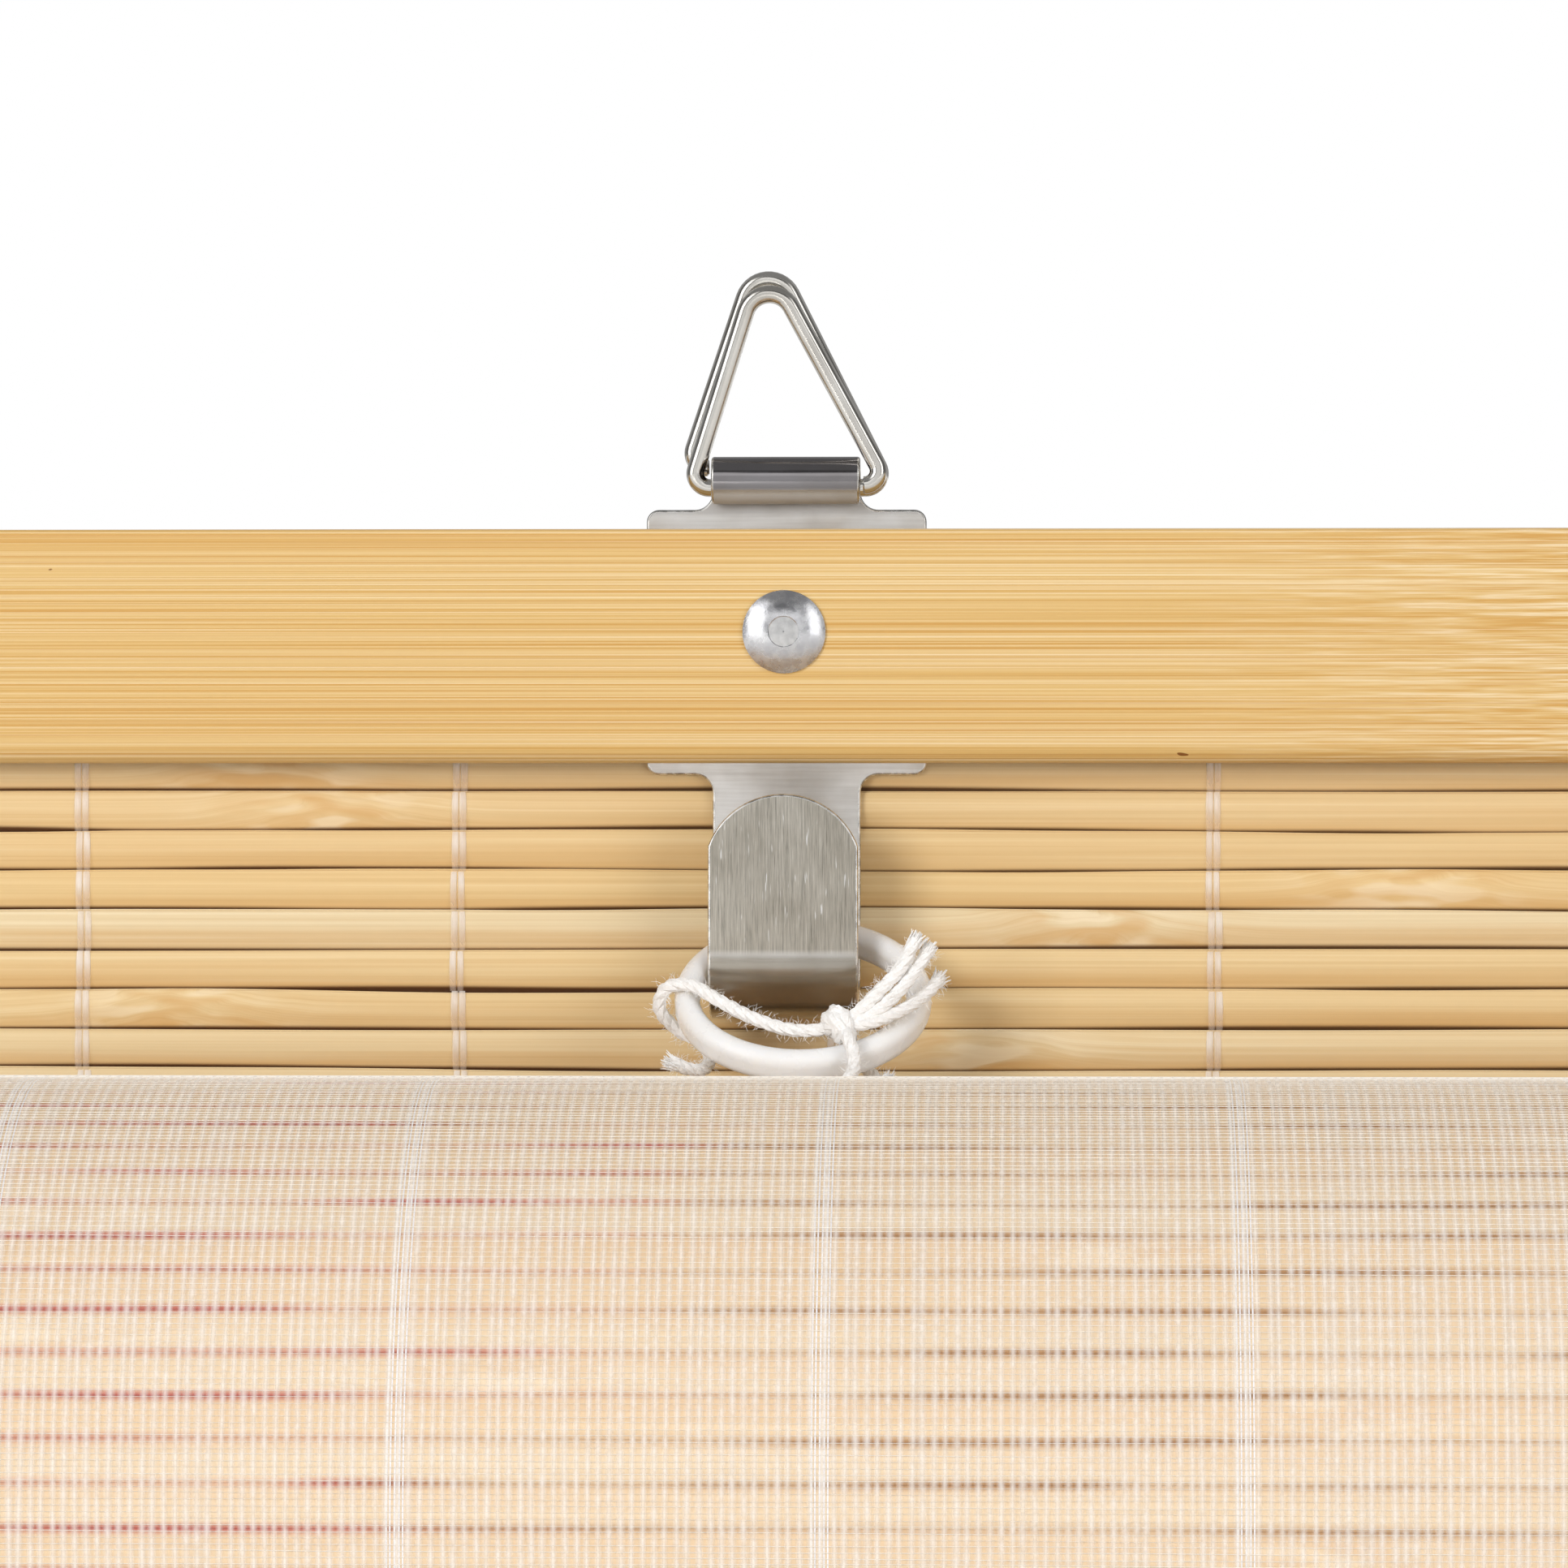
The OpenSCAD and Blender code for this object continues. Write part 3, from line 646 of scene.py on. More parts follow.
def route_at(route, side):
    return [Vector((bracket_x[side] + x, y, z)) for x, y, z in route]


def twisted(shape, line):
    """Plies that wind round a line."""
    frames = frames_along(line)
    run = [0.0]
    for a, b in zip(line, line[1:]):
        run.append(run[-1] + (b - a).length)
    for ply in range(PLY_COUNT):
        turns = [2 * math.pi * (s / PLY_PITCH + ply / PLY_COUNT) for s in run]
        centre = [p + PLY_OFF * around(u, v, turn) for p, turn, (u, v) in zip(line, turns, frames)]
        shape.loft(tube_rings(centre, PLY_R, PLY_SIDES))


def frayed(shape, line, rng):
    """Loose fibres that fan out beyond a cord's end."""
    tip = line[-1]
    ahead = (line[-1] - line[-3]).normalized()
    u = ahead.orthogonal().normalized()
    v = ahead.cross(u)
    radii = [FRAY_R * share for _, share in FRAY_TAPER]
    for _ in range(FRAY_FIBRES):
        out = around(u, v, rng.uniform(0, 2 * math.pi))
        start = tip + out * rng.uniform(0, FRAY_SPREAD) - ahead * FRAY_ROOT
        reach = FRAY_LENGTH * rng.uniform(*FRAY_SHARES)
        bend = rng.uniform(*FRAY_BENDS)
        fibre = [start + ahead * reach * t + out * reach * bend * t * t for t, _ in FRAY_TAPER]
        shape.loft(tube_rings(fibre, radii, FRAY_SIDES))


def fuzz(shape, line, rng, count):
    """Short hairs that stand off a cord."""
    frames = frames_along(line)
    radii = [HAIR_R * share for _, share in HAIR_TAPER]
    for _ in range(count):
        i = rng.randrange(1, len(line) - 1)
        out = around(*frames[i], rng.uniform(0, 2 * math.pi))
        ahead = (line[i + 1] - line[i - 1]).normalized() * rng.uniform(-1, 1)
        start = line[i] + out * HAIR_ROOT
        reach = rng.uniform(*HAIR_LENGTHS)
        hair = [start + (out * t + ahead * t * t) * reach for t, _ in HAIR_TAPER]
        shape.loft(tube_rings(hair, radii, HAIR_SIDES))


def knot_wrap(centre, axis, radius):
    """A turn and a half of cord wound tightly about an axis."""
    u = axis.orthogonal().normalized()
    v = axis.cross(u)
    line = []
    for k in range(KNOT_STEPS + 1):
        share = k / KNOT_STEPS
        out = around(u, v, 2 * math.pi * KNOT_TURNS * share)
        line.append(centre + axis * KNOT_ADVANCE * (share - 0.5) + radius * out)
    return line


def tie_cord(side):
    rng = random.Random(f"tie {side}")
    line = curve_through(route_at(TIE_ROUTE, side), CURVE_STEPS)
    cord = Shape()
    twisted(cord, line)
    piece = cord.piece(f"tie_cord_{side}_twine", COTTON, "cotton_cord")
    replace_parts(piece, f"tie_cord_{side}")
    knot = Shape()
    [middle] = route_at([KNOT_AT], side)
    for axis, radius in KNOT_WRAPS:
        twisted(knot, knot_wrap(middle, Vector(axis).normalized(), radius))
    loose = Shape()
    frayed(loose, line, rng)
    fuzz(loose, line, rng, CORD_HAIRS)
    for name, route in TAIL_ROUTES.items():
        tail_line = curve_through(route_at(route, side), CURVE_STEPS)
        tail = Shape()
        twisted(tail, tail_line)
        frayed(loose, tail_line, rng)
        fuzz(loose, tail_line, rng, TAIL_HAIRS)
        tail.piece(f"tie_cord_{side}_tail_{name}", COTTON, "cotton_cord")
    knot.piece(f"tie_cord_{side}_knot", COTTON, "cotton_cord")
    loose.piece(f"tie_cord_{side}_lint", COTTON, "cotton_cord")


for side in SIDES:
    tie_cord(side)

# Slats: their edges, the gaps between them and their crowned fronts
EDGE_R = 0.0003
EDGE_FADE = 3
ROLL_EDGE_W = 0.00085
ROLL_EDGE_H = 0.00015
ROLL_EDGE_FADE = 1
SLAT_GAP = 0.00014
GAP_SPREAD = 0.00016
CLOSED_GAP = 0.00003
WIDE_GAP = 0.0006
WIDE_FROM = 0.6
SEAM_WANDER = 0.00022
SLAT_SKEW = 0.0017
SLAT_CROWN = 0.00056
CROWN_SHARES = (0.12, 0.3, 0.5, 0.7, 0.88)
CORNER_TURNS = (0.0, math.pi / 6, math.pi / 3, math.pi / 2)
FACE_WAVE = 0.00004
END_SKIN = 0.00005
HUNG_STATIONS = 170
ROLL_STATIONS = 88
INNER_STATIONS = 2

# Shortest and longest waves of what varies along a slat
WANDER_WAVES = (0.06, 0.5)
GAP_WAVES = (0.03, 0.25)
WIDE_WAVES = (0.07, 0.4)
BROWN_WAVES = (0.03, 0.16)
FACE_WAVES = (0.05, 0.5)

# How brown the slats' edges are, partly their own colour and partly painted shade of the gaps between slats,
# the range of their tones, and the knots of the culm along them
HUNG_BROWN_AND_SHADE = 0.9
ROLL_BROWN_AND_SHADE = 0.46
BROWN_SPREAD = 0.95
LEAST_BROWN = 0.3
SLAT_TONES = (0.1, 1.3)
CULM_KNOTS = 4
CULM_KNOT_START = (-0.35, -0.1)
CULM_KNOT_SPACING = (0.24, 0.34)
CULM_KNOT_REACH = 0.011
CULM_KNOT_RISE = 0.00005


def seam(index, rolled):
    """The line between a slat and the one above it: how it wanders, and its gap, along the width."""
    rng = random.Random(f"seam {index}")
    wander = wave(rng, *WANDER_WAVES)
    opening = wave(rng, *GAP_WAVES)
    wide = wave(rng, *WIDE_WAVES)

    def gap(x):
        if rolled:
            return CLOSED_GAP
        widened = WIDE_GAP * max(0.0, wide(x) - WIDE_FROM)
        return max(CLOSED_GAP, SLAT_GAP + GAP_SPREAD * opening(x) + widened)

    return lambda x: (SEAM_WANDER * wander(x), gap(x))


def seam_tone(index, rolled):
    """How brown the edges along a seam are, partly their own colour and partly painted shade of the gap: even
    on the hanging slats, in stretches on the roll.
    """
    if not rolled:
        return lambda x: HUNG_BROWN_AND_SHADE
    stretch = wave(random.Random(f"tone {index}"), *BROWN_WAVES)
    return lambda x: min(1.0, max(LEAST_BROWN, ROLL_BROWN_AND_SHADE + BROWN_SPREAD * stretch(x)))


def slat_section(low, high, front, rolled):
    """Rounded outline of a slat as along-the-mat, depth and nearness to an edge.
    A hanging slat is crowned in front, and its edges slant so that no light shows between two slats."""
    edge_w, edge_h = (ROLL_EDGE_W, ROLL_EDGE_H) if rolled else (EDGE_R, EDGE_R)
    corners = [(high - edge_w, front - edge_h, 0), (low + edge_w, front - edge_h, 1),
               (low + edge_w, edge_h, 2), (high - edge_w, edge_h, 3)]
    points = []
    for u, d, quarter in corners:
        for t in CORNER_TURNS:
            turn = quarter * math.pi / 2 + t
            points.append((u + edge_w * math.cos(turn), d + edge_h * math.sin(turn), abs(math.cos(turn))))
        if quarter == 0 and not rolled:
            for share in CROWN_SHARES:
                crown = SLAT_CROWN * (1 - (2 * share - 1) ** 2)
                points.append((high + (low - high) * share, front + crown, 0.0))
    skew = 0.0 if rolled else SLAT_SKEW
    return [(u - skew * (d / SLAT_T - 0.5), d, edge) for u, d, edge in points]


def add_slat(shape, index, stations):
    """A slat as a skin through sections along its width, with the values that its material reads."""
    rng = random.Random(f"slat {index}")
    s = (index + 0.5) * SLAT_PITCH
    origin, along, inward = mat_frame(s)
    rolled = index >= hung_count
    upper, lower = seam(index, rolled), seam(index + 1, rolled)
    upper_brown, lower_brown = seam_tone(index, rolled), seam_tone(index + 1, rolled)
    face = wave(rng, *FACE_WAVES)
    tone = rng.uniform(*SLAT_TONES)
    start = rng.uniform(*CULM_KNOT_START)
    knots = [start + k * rng.uniform(*CULM_KNOT_SPACING) for k in range(CULM_KNOTS)]
    half = SLAT_PITCH / 2
    thick, fade = (SLAT_T, ROLL_EDGE_FADE) if rolled else (SLAT_T - SLAT_CROWN, EDGE_FADE)
    rings, places, drops, falls, edges, knot_values = [], [], [], [], [], []
    inner = half_width - END_SKIN
    xs = [-half_width] + [inner * (2 * j / stations - 1) for j in range(stations + 1)] + [half_width]
    for x in xs:
        knot = sum(math.exp(-((x - at) / CULM_KNOT_REACH) ** 2) for at in knots)
        (high_off, high_gap), (low_off, low_gap) = upper(x), lower(x)
        low = -half + high_off + high_gap / 2
        high = half + low_off - low_gap / 2
        front = thick + FACE_WAVE * face(x) + CULM_KNOT_RISE * knot
        section = slat_section(low, high, front, rolled)
        bare = abs(x) == half_width
        # How much of the edges' colour each point takes: partly their own brown, partly painted shade of the
        # gap
        brown_and_shade_shares = [0.0 if bare else lower_brown(x) if u > 0 else upper_brown(x) for u, _, _ in section]
        rings.append([Vector((x, *(origin + along * u + inward * d))) for u, d, _ in section])
        places.append(x)
        drops.append([s + u for u, _, _ in section])
        # fall: the share across the slat, which the material turns into a painted shade towards one edge
        falls.append([u / SLAT_PITCH + 0.5 for u, _, _ in section])
        edges.append([edge ** fade * brown for (_, _, edge), brown in zip(section, brown_and_shade_shares)])
        knot_values.append(knot)
    shape.loft(rings, along=places, drop=drops, fall=falls, edge=edges, tone=[tone] * len(rings),
               knot=knot_values)


def slat_mat(name, indices, stations, material, node):
    shape = Shape()
    for index in indices:
        add_slat(shape, index, stations)
    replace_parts(shape.piece(name, material, "slat_bamboo"), node)


outer_turn = range(hung_count, roll_skin_end)
inner_turns = range(roll_skin_end, SLAT_COUNT)
slat_mat("hanging_slat_mat", range(hung_count), HUNG_STATIONS, SLAT, "hanging_slats")
slat_mat("rolled_slat_mat_outer", outer_turn, ROLL_STATIONS, SLAT_BACK, "rolled_slats")
slat_mat("rolled_slat_mat_inner", inner_turns, INNER_STATIONS, SLAT_BACK, "rolled_slats")

# Gauze lining: a thin veil with the yarns of its weave on it, over bands of the binding threads' strands
VEIL_COLUMNS = 48
WARP_PITCH = 0.00122
WARP_W = 0.00115
WARP_WIDTHS = (0.8, 1.15)
WARP_RISE = 0.00006
WARP_JITTER = 0.00008
WARP_LEAN = 0.0002
WARP_LEAN_RATE = 9
WEFT_PITCH = 0.0007
WEFT_W = 0.000065
WEFT_WIDTHS = (0.7, 1.3)
WEFT_RISE = 0.00005
WEFT_WANDER = 0.0001
WEFT_WAVES = (0.02, 0.2)
WEFT_STEPS = 40
BAND_OFFSETS = (-0.0009, -0.0005, 0.0, 0.0005, 0.0009)
BAND_STRAND_W = 0.00018
BAND_RISE = 0.00003
BAND_DEPTH = -0.00008
ROLL_SHIFT = 0.0009
SIDEWAYS = Vector((1, 0, 0))
veil_depth = -LINING_T / 2
yarn_depth = veil_depth - WARP_RISE


def lining_stops(last):
    """Places along the mat: two on the hanging stretch, then the slats' edges on the roll."""
    return [0.0, hung_len * 0.5] + [k * SLAT_PITCH for k in range(hung_count, last + 1)]


skin_stops = lining_stops(roll_skin_end)
skin_out = [Vector((0, *(-mat_frame(s)[2]))) for s in skin_stops]


def askew(x, s):
    """The mat is rolled up a little askew: x moves aside over the roll's first quarter turn."""
    share = min(1.0, max(0.0, s - hung_len) / (roll_r * math.pi / 2))
    return max(-half_width + WARP_W, min(half_width - WARP_W, x + ROLL_SHIFT * share))


def add_ribbon(shape, line, across, out, width, rise):
    """A flat yarn with a raised middle."""
    shape.loft(
        [[p - w * width / 2, p + o * rise, p + w * width / 2] for p, w, o in zip(line, across, out)],
        closed=False, edge=[(1.0, 0.0, 1.0)] * len(line),
    )


def add_lengthways(shape, xs, path, width, rise):
    """A yarn along the mat, down its hanging stretch and round the roll's outer turn."""
    line = [Vector((askew(x, s), *p)) for x, s, p in zip(xs, skin_stops, path)]
    add_ribbon(shape, line, [SIDEWAYS] * len(line), skin_out, width, rise)


def gauze_warp():
    rng = random.Random("warp")
    path = [mat_point(s, yarn_depth) for s in skin_stops]
    count = int(2 * half_width / WARP_PITCH)
    shape = Shape()
    for k in range(count):
        x = half_width * (2 * (k + 0.5) / count - 1) + rng.uniform(-WARP_JITTER, WARP_JITTER)
        lean = rng.uniform(-WARP_LEAN, WARP_LEAN)
        xs = [x + lean * math.sin(WARP_LEAN_RATE * s / hung_len) for s in skin_stops]
        add_lengthways(shape, xs, path, WARP_W * rng.uniform(*WARP_WIDTHS), WARP_RISE)
    return shape


def gauze_weft():
    rng = random.Random("weft")
    xs = [half_width * (2 * j / WEFT_STEPS - 1) for j in range(WEFT_STEPS + 1)]
    shape = Shape()
    for k in range(int(roll_skin_end * SLAT_PITCH / WEFT_PITCH)):
        s = (k + 0.5) * WEFT_PITCH
        origin = mat_point(s, yarn_depth)
        _, along, inward = mat_frame(s)
        shift = wave(rng, *WEFT_WAVES)
        line = [Vector((x, *(origin + along * WEFT_WANDER * shift(x)))) for x in xs]
        add_ribbon(shape, line, [Vector((0, *along))] * len(xs), [Vector((0, *(-inward)))] * len(xs),
                   WEFT_W * rng.uniform(*WEFT_WIDTHS), WEFT_RISE)
    return shape


def thread_bands():
    path = [mat_point(s, BAND_DEPTH) for s in skin_stops]
    shape = Shape()
    for x in thread_xs:
        for off in BAND_OFFSETS:
            add_lengthways(shape, [x + off] * len(path), path, BAND_STRAND_W, BAND_RISE)
    return shape


def gauze_lining():
    xs = [half_width * (2 * c / VEIL_COLUMNS - 1) for c in range(VEIL_COLUMNS + 1)]
    rows = [mat_point(s, veil_depth) for s in lining_stops(SLAT_COUNT)]
    veil = Shape()
    veil.loft([[Vector((x, *row)) for x in xs] for row in rows], closed=False)
    sheet = veil.piece("gauze_veil", VEIL, "lining_gauze")
    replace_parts(sheet, "gauze_lining")
    thread_bands().piece("thread_bands", BAND, "thread_nylon")
    yarns = [gauze_warp().piece("gauze_warp", WARP, "lining_gauze"),
             gauze_weft().piece("gauze_weft", WEFT, "lining_gauze")]


gauze_lining()

# Binding threads: two clear strands over each slat, drawn in where they cross between slats
STRAND_W = 0.00096
STRAND_WIDTHS = (0.9, 1.05)
STRAND_H = 0.00022
STRAND_SPREAD = 0.00096
STRAND_SPREADS = (0.97, 1.03)
STRAND_JITTER = 0.00025
STRAND_LIFT = 0.0003
STRAND_LEVEL = 0.8
STRAND_STEPS = 10
DRAWN_SPREAD = 0.85
DRAWN_WIDTH = 0.76
FULL_POWER = 0.35
FULL_END = 0.02
# Where along a slat the strands' painted highlight is strongest, and how far it reaches
SHINE_AT = 0.2
SHINE_REACH = 0.4

# A strand's section: across, rise and nearness to an edge
STRAND_ARCH = ((-1.0, 0.0, 1.0), (-0.75, 0.7, 0.15), (0.0, 1.0, 0.0), (0.75, 0.7, 0.15), (1.0, 0.0, 1.0))


def fullness(t):
    """How full a strand is on its way over a slat, from the upper edge at 0 to the lower edge at 1."""
    return math.sin(math.pi * min(max(t, FULL_END), 1 - FULL_END)) ** FULL_POWER


def drawn(share, full):
    """A share that grows to 1 as the strand gets full."""
    return share + (1 - share) * full


def binding_thread(number):
    rng = random.Random(f"thread {number}")
    strands = Shape()
    for slat in range(hung_count):
        aside = thread_xs[number - 1] + rng.uniform(-STRAND_JITTER, STRAND_JITTER)
        for side in (-1, 1):
            off = side * rng.uniform(*STRAND_SPREADS) * STRAND_SPREAD / 2
            width = STRAND_W * rng.uniform(*STRAND_WIDTHS)
            rings, shines = [], []
            for k in range(STRAND_STEPS + 1):
                t = k / STRAND_STEPS
                full = fullness(t)
                half = width / 2 * drawn(DRAWN_WIDTH, full)
                middle = aside + off * drawn(DRAWN_SPREAD, full)
                centre = mat_point((slat + t) * SLAT_PITCH, SLAT_T + STRAND_LIFT * (full - STRAND_LEVEL))
                rings.append([
                    Vector((middle + across * half, centre.x - rise * STRAND_H * full, centre.y))
                    for across, rise, _ in STRAND_ARCH
                ])
                # The strand's painted highlight, strongest near the slat's upper edge
                shines.append(math.exp(-((t - SHINE_AT) / SHINE_REACH) ** 2))
            strands.loft(rings, closed=False, shine=shines,
                         edge=[[edge for _, _, edge in STRAND_ARCH]] * len(rings))
    piece = strands.piece(f"nylon_thread_{number:02d}", NYLON, "thread_nylon")
    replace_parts(piece, f"binding_thread_{number:02d}")


for number in range(1, THREAD_COUNT + 1):
    binding_thread(number)

# Triangle rings: the wire's two turns, round and smooth, with sizes as in the part's source
WIRE_D = 0.0022
WIRE_BEVEL = 0.00025
WIRE_SIDES = 20
BEND_STEPS = 14
TURN_GAP = 0.0001
TUBE_HALF = 0.0091
LEFT_REACH = 0.00265
RIGHT_REACH = 0.0035
END_REACH = 0.0004
APEX_X = -0.00275
TRIANGLE_H = 0.0284
FRONT_RISE = 0.0002
REAR_RISE = 0.002
REAR_END_RISE = 0.0006
REAR_STEP = 0.0004
CORNER_BEND_R = 0.00175
APEX_BEND_R = 0.0031
turn_step = WIRE_D + TURN_GAP
left_corner = -TUBE_HALF - LEFT_REACH
right_corner = TUBE_HALF + RIGHT_REACH
free_end = TUBE_HALF + END_REACH


def bent_wire(points, radii):
    """A line of straight stretches with an arc at each inner point."""
    line = [points[0]]
    for i, r in zip(range(1, len(points) - 1), radii):
        a = (points[i - 1] - points[i]).normalized()
        b = (points[i + 1] - points[i]).normalized()
        half = math.acos(a.dot(b)) / 2
        middle = points[i] + (a + b).normalized() * r / math.sin(half)
        start = points[i] + a * r / math.tan(half) - middle
        side = (points[i] + b * r / math.tan(half) - middle + start * math.cos(2 * half)).normalized() * r
        for k in range(BEND_STEPS + 1):
            t = (math.pi - 2 * half) * k / BEND_STEPS
            line.append(middle + start * math.cos(t) + side * math.sin(t))
    return line + [points[-1]]


def rounded_ends(line):
    """The same line with its two ends drawn in, and the radius along it."""
    first, last = line[0], line[-1]
    ahead = (line[1] - first).normalized()
    behind = (line[-2] - last).normalized()
    r = WIRE_D / 2
    inner = [first + ahead * WIRE_BEVEL] + line[1:-1] + [last + behind * WIRE_BEVEL]
    return [first] + inner + [last], [r - WIRE_BEVEL] + [r] * len(inner) + [r - WIRE_BEVEL]


def triangle_ring(side):
    bends = [CORNER_BEND_R, APEX_BEND_R, CORNER_BEND_R]
    rear_corner = left_corner - REAR_STEP
    rear_z = REAR_RISE + REAR_END_RISE
    front = [(free_end, -turn_step, FRONT_RISE), (right_corner, -turn_step, FRONT_RISE),
             (APEX_X, -turn_step / 2, TRIANGLE_H), (left_corner, 0, 0)]
    rear = [(right_corner, 0, 0), (APEX_X, turn_step / 2, TRIANGLE_H + REAR_RISE),
            (rear_corner, turn_step, rear_z), (-free_end, turn_step, rear_z)]
    points = [hinge_at[side] + Vector(p) for p in front + rear]
    line, radii = rounded_ends(bent_wire(points, bends + bends))
    shape = Shape()
    shape.loft(tube_rings(line, radii, WIRE_SIDES))
    piece = shape.piece(f"wire_ring_{side}", WIRE, "ring_wire", body=f"ring_{side}")
    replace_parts(piece, f"triangle_ring_{side}")


for side in SIDES:
    triangle_ring(side)

# Hook plates: the solid's own form with the edges rolled over by the stamping
EDGE_ROLL = 0.0003
EDGE_ROLL_STEPS = 3
WELD_REACH = 1e-6
FLAT_ANGLE = 0.5
CORNER_ANGLE = 50
PLATE_SHARP_ANGLE = 35
RIM_INDEX = 1


def hook_plate(side):
    bm = bmesh.new()
    bm.from_mesh(nodes[f"hook_plate_{side}"].data)
    bmesh.ops.remove_doubles(bm, verts=bm.verts, dist=WELD_REACH)
    bmesh.ops.dissolve_limit(bm, angle_limit=math.radians(FLAT_ANGLE), verts=bm.verts, edges=bm.edges)
    between = [e for e in bm.edges if len(e.link_faces) == 2]
    corners = [e for e in between if e.calc_face_angle() > math.radians(CORNER_ANGLE)]
    bmesh.ops.bevel(bm, geom=corners, offset=EDGE_ROLL, segments=EDGE_ROLL_STEPS, profile=0.5,
                    affect="EDGES", clamp_overlap=True, material=RIM_INDEX)
    name = f"stamped_hook_{side}"
    mesh = bpy.data.meshes.new(name)
    bm.to_mesh(mesh)
    bm.free()
    piece = add_piece(name, mesh, [STEEL, RIM], "plate_steel", sharp=PLATE_SHARP_ANGLE)
    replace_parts(piece, f"hook_plate_{side}")


# Rivets: a turned head with a flat middle, on a plain shank with a swollen tail
RIVET_D = 0.0048
HEAD_D = 0.0101
HEAD_H = 0.0019
HEAD_BEVEL = 0.0001
DOME_STEPS = 12
FLAT_D = 0.0038
FLAT_SINK = 0.00008
RIM_H = 0.00045
PIN_D = 0.003
PIN_RIM_SINK = 0.0001
PIN_SINK = 0.0008
TAIL_H = 0.0018
TAIL_SWELL = 0.001
TAIL_SHARES = (0.4, 0.8)
RIVET_SHARP_ANGLE = 30
LATHE_SIDES = 72

# The pressed middle of a rivet's head, a thin cap on the flat
CAP_GAP = 0.00005
CAP_SHARE = 0.8
CAP_SINK = 0.00002
CAP_TIP_R = 0.0001


def turned(shape, axis_at, profile):
    """A solid turned about an axis that points at the viewer; profile is radius and height along it."""
    turns = [2 * math.pi * k / LATHE_SIDES for k in range(LATHE_SIDES)]
    shape.loft([
        [axis_at + Vector((r * math.cos(t), -h, r * math.sin(t))) for t in turns] for r, h in profile
    ], caps=False)


def rivet(side):
    low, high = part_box(f"rivet_{side}")
    seat = Vector(((low.x + high.x) / 2, batten_front, (low.z + high.z) / 2))
    tail = batten_front - high.y
    shank_r, head_r, flat_r, pin_r = RIVET_D / 2, HEAD_D / 2, FLAT_D / 2, PIN_D / 2
    dome_centre = (HEAD_H ** 2 + flat_r ** 2 - RIM_H ** 2 - head_r ** 2) / (2 * (HEAD_H - RIM_H))
    dome_r = math.hypot(flat_r, HEAD_H - dome_centre)
    dome = [head_r + (flat_r - head_r) * k / DOME_STEPS for k in range(DOME_STEPS + 1)]
    profile = [(pin_r, tail), (shank_r, tail)]
    profile += [(shank_r + TAIL_SWELL, tail + TAIL_H * share) for share in TAIL_SHARES]
    profile += [(shank_r, tail + TAIL_H), (shank_r, 0.0), (head_r - HEAD_BEVEL, 0.0), (head_r, HEAD_BEVEL)]
    profile += [(r, dome_centre + math.sqrt(dome_r ** 2 - r ** 2)) for r in dome]
    profile += [(flat_r - HEAD_BEVEL, HEAD_H - FLAT_SINK), (pin_r, HEAD_H - PIN_RIM_SINK),
                (pin_r, HEAD_H - PIN_SINK)]
    shape = Shape()
    turned(shape, seat, profile)
    piece = shape.piece(f"turned_rivet_{side}", ALLOY, "rivet_alloy", sharp=RIVET_SHARP_ANGLE)
    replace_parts(piece, f"rivet_{side}")
    pressed = Shape()
    turned(pressed, seat, [(flat_r - CAP_GAP, HEAD_H - FLAT_SINK), (flat_r * CAP_SHARE, HEAD_H - CAP_SINK),
                           (CAP_TIP_R, HEAD_H)])
    pressed.piece(f"pressed_rivet_end_{side}", PRESSED, "rivet_alloy")


for side in SIDES:
    hook_plate(side)
    rivet(side)

# Finishes of the pieces that keep their solids
FINISHES = {
    "front_batten": BATTEN, "rear_batten": BATTEN, "bottom_rod": BATTEN,
    "rivet_pin": PIN, "rivet_washer": STEEL, "lift_ring": PLASTIC,
}
for name, node in nodes.items():
    finish = FINISHES.get(name) or FINISHES.get(name.rsplit("_", 1)[0])
    if finish:
        node.data.materials.clear()
        node.data.materials.append(finish)

# Floor, light and background
FLOOR_DROP = 0.04
FLOOR_HALF = 6.0
floor_z = cad_box[0].z - FLOOR_DROP
floor_mesh = bpy.data.meshes.new("floor")
floor_mesh.from_pydata(
    [(x * FLOOR_HALF, y * FLOOR_HALF, floor_z) for x, y in ((-1, -1), (1, -1), (1, 1), (-1, 1))],
    [], [(0, 1, 2, 3)])
floor_mesh.materials.append(Graph("floor").set(Base_Color=linear(242, 241, 239), Roughness=0.9).material)
new_object("floor", floor_mesh)


def area_light(name, offset, size, power):
    data = bpy.data.lights.new(name, "AREA")
    data.shape = "DISK"
    data.size = size
    data.energy = power
    aimed(name, data, Vector(offset)).visible_glossy = False


area_light("key", offset=(-0.75, -1.6, 0.36), size=0.7, power=15)
area_light("fill", offset=(1.3, -1.7, 0.1), size=1.2, power=14.5)
area_light("back", offset=(0.9, 2.1, 0.55), size=1.4, power=20)

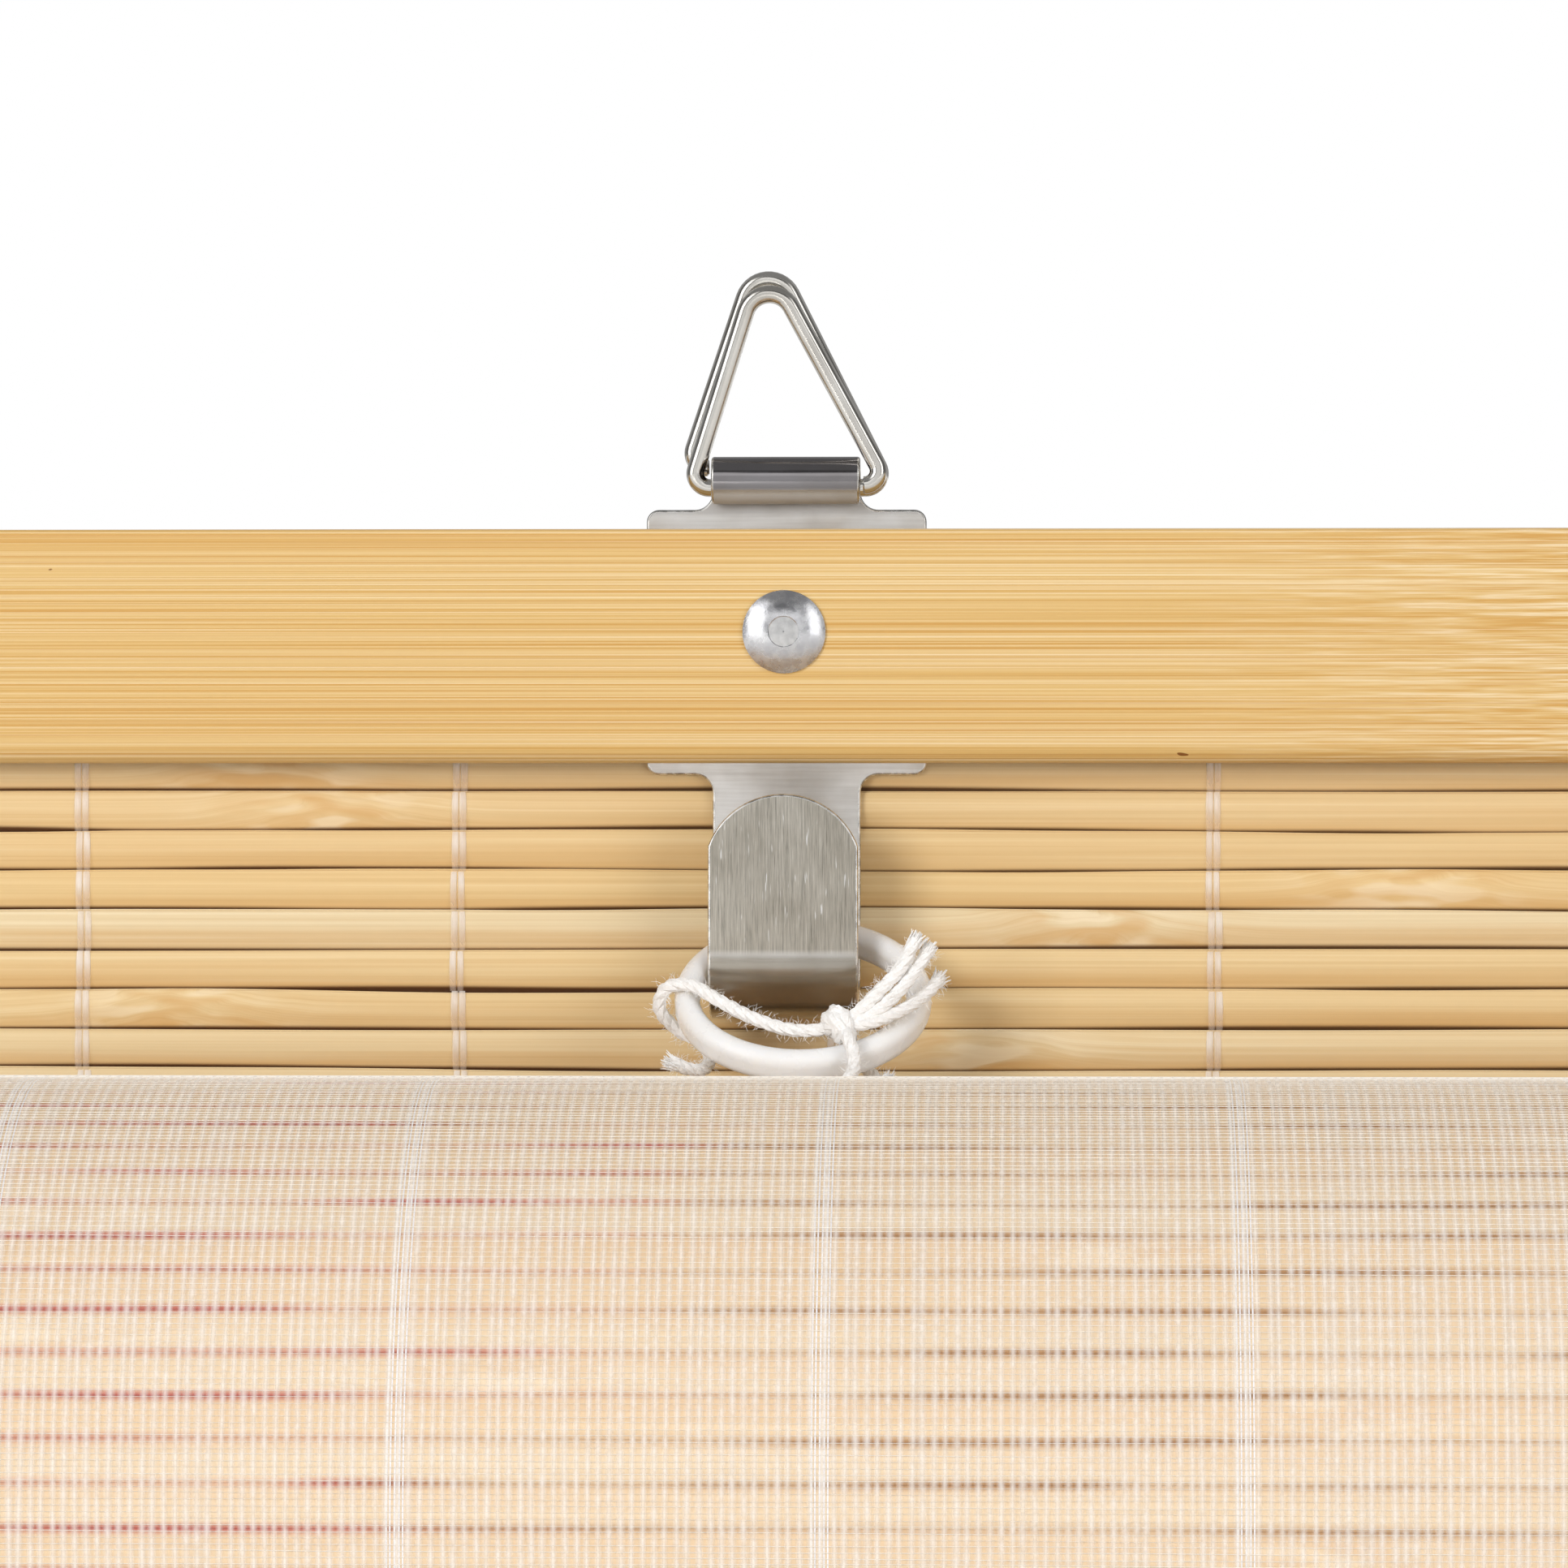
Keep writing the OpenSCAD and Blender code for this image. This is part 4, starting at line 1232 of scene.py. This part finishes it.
# Cards round the studio that only shiny surfaces show, as upright arcs and a lid:
# from and to an angle, from and to a height, and brightness; the last two are soft boxes
CARD_RING_R = 3.2
CARD_STEP = 4
CARD_LID = 3.5
CARDS = [
    (-28, 28, floor_z, 1.2, 0.7), (-28, 28, 2.2, CARD_LID, 0.1),
    (-40, -28, floor_z, CARD_LID, 0.26), (-108, -68, floor_z, CARD_LID, 0.12),
    (28, 40, floor_z, CARD_LID, 0.26), (60, 108, floor_z, CARD_LID, 0.12),
    (-180, -108, floor_z, CARD_LID, 0.32), (108, 180, floor_z, CARD_LID, 0.32),
    (-68, -40, floor_z, 2.4, 2.2), (40, 60, floor_z, 2.4, 1.8),
]
LID_SHADE = 0.22


def on_ring(angle, height):
    turn = math.radians(angle)
    return (CARD_RING_R * math.sin(turn), -CARD_RING_R * math.cos(turn), height)


def card(name, points, faces, shade):
    mesh = bpy.data.meshes.new(name)
    mesh.from_pydata(points, [], faces)
    g = Graph(name).set(Base_Color=(0, 0, 0, 1), Roughness=1.0, Specular_IOR_Level=0.0,
                        Emission_Color=(shade, shade, shade, 1.0), Emission_Strength=1.0)
    mesh.materials.append(g.material)
    made = new_object(name, mesh)
    for ray in ("camera", "diffuse", "transmission", "volume_scatter", "shadow"):
        setattr(made, f"visible_{ray}", False)


for number, (start, end, low, high, shade) in enumerate(CARDS):
    corners = [on_ring(a, z) for a in range(start, end + 1, CARD_STEP) for z in (low, high)]
    card(f"card_{number}", corners, [(k, k + 2, k + 3, k + 1) for k in range(0, len(corners) - 2, 2)], shade)
lid = [on_ring(a, CARD_LID) for a in range(-180, 180, CARD_STEP)]
card("card_lid", lid, [tuple(range(len(lid)))], LID_SHADE)

# World: white where the camera or a shiny surface sees it, and dimmer as light
AMBIENT = 0.48
world = bpy.data.worlds.new("world")
bpy.context.scene.world = world
world.use_nodes = True
tree = world.node_tree
background = tree.nodes["Background"]
background.inputs["Color"].default_value = (1, 1, 1, 1)
rays = tree.nodes.new("ShaderNodeLightPath")
seen = tree.nodes.new("ShaderNodeMath")
seen.operation = "MAXIMUM"
tree.links.new(rays.outputs["Is Camera Ray"], seen.inputs[0])
tree.links.new(rays.outputs["Is Glossy Ray"], seen.inputs[1])
strength = tree.nodes.new("ShaderNodeMapRange")
strength.inputs["To Min"].default_value = AMBIENT
tree.links.new(seen.outputs["Value"], strength.inputs["Value"])
tree.links.new(strength.outputs["Result"], background.inputs["Strength"])

bpy.context.scene.view_settings.view_transform = "Standard"

bpy.context.view_layer.update()
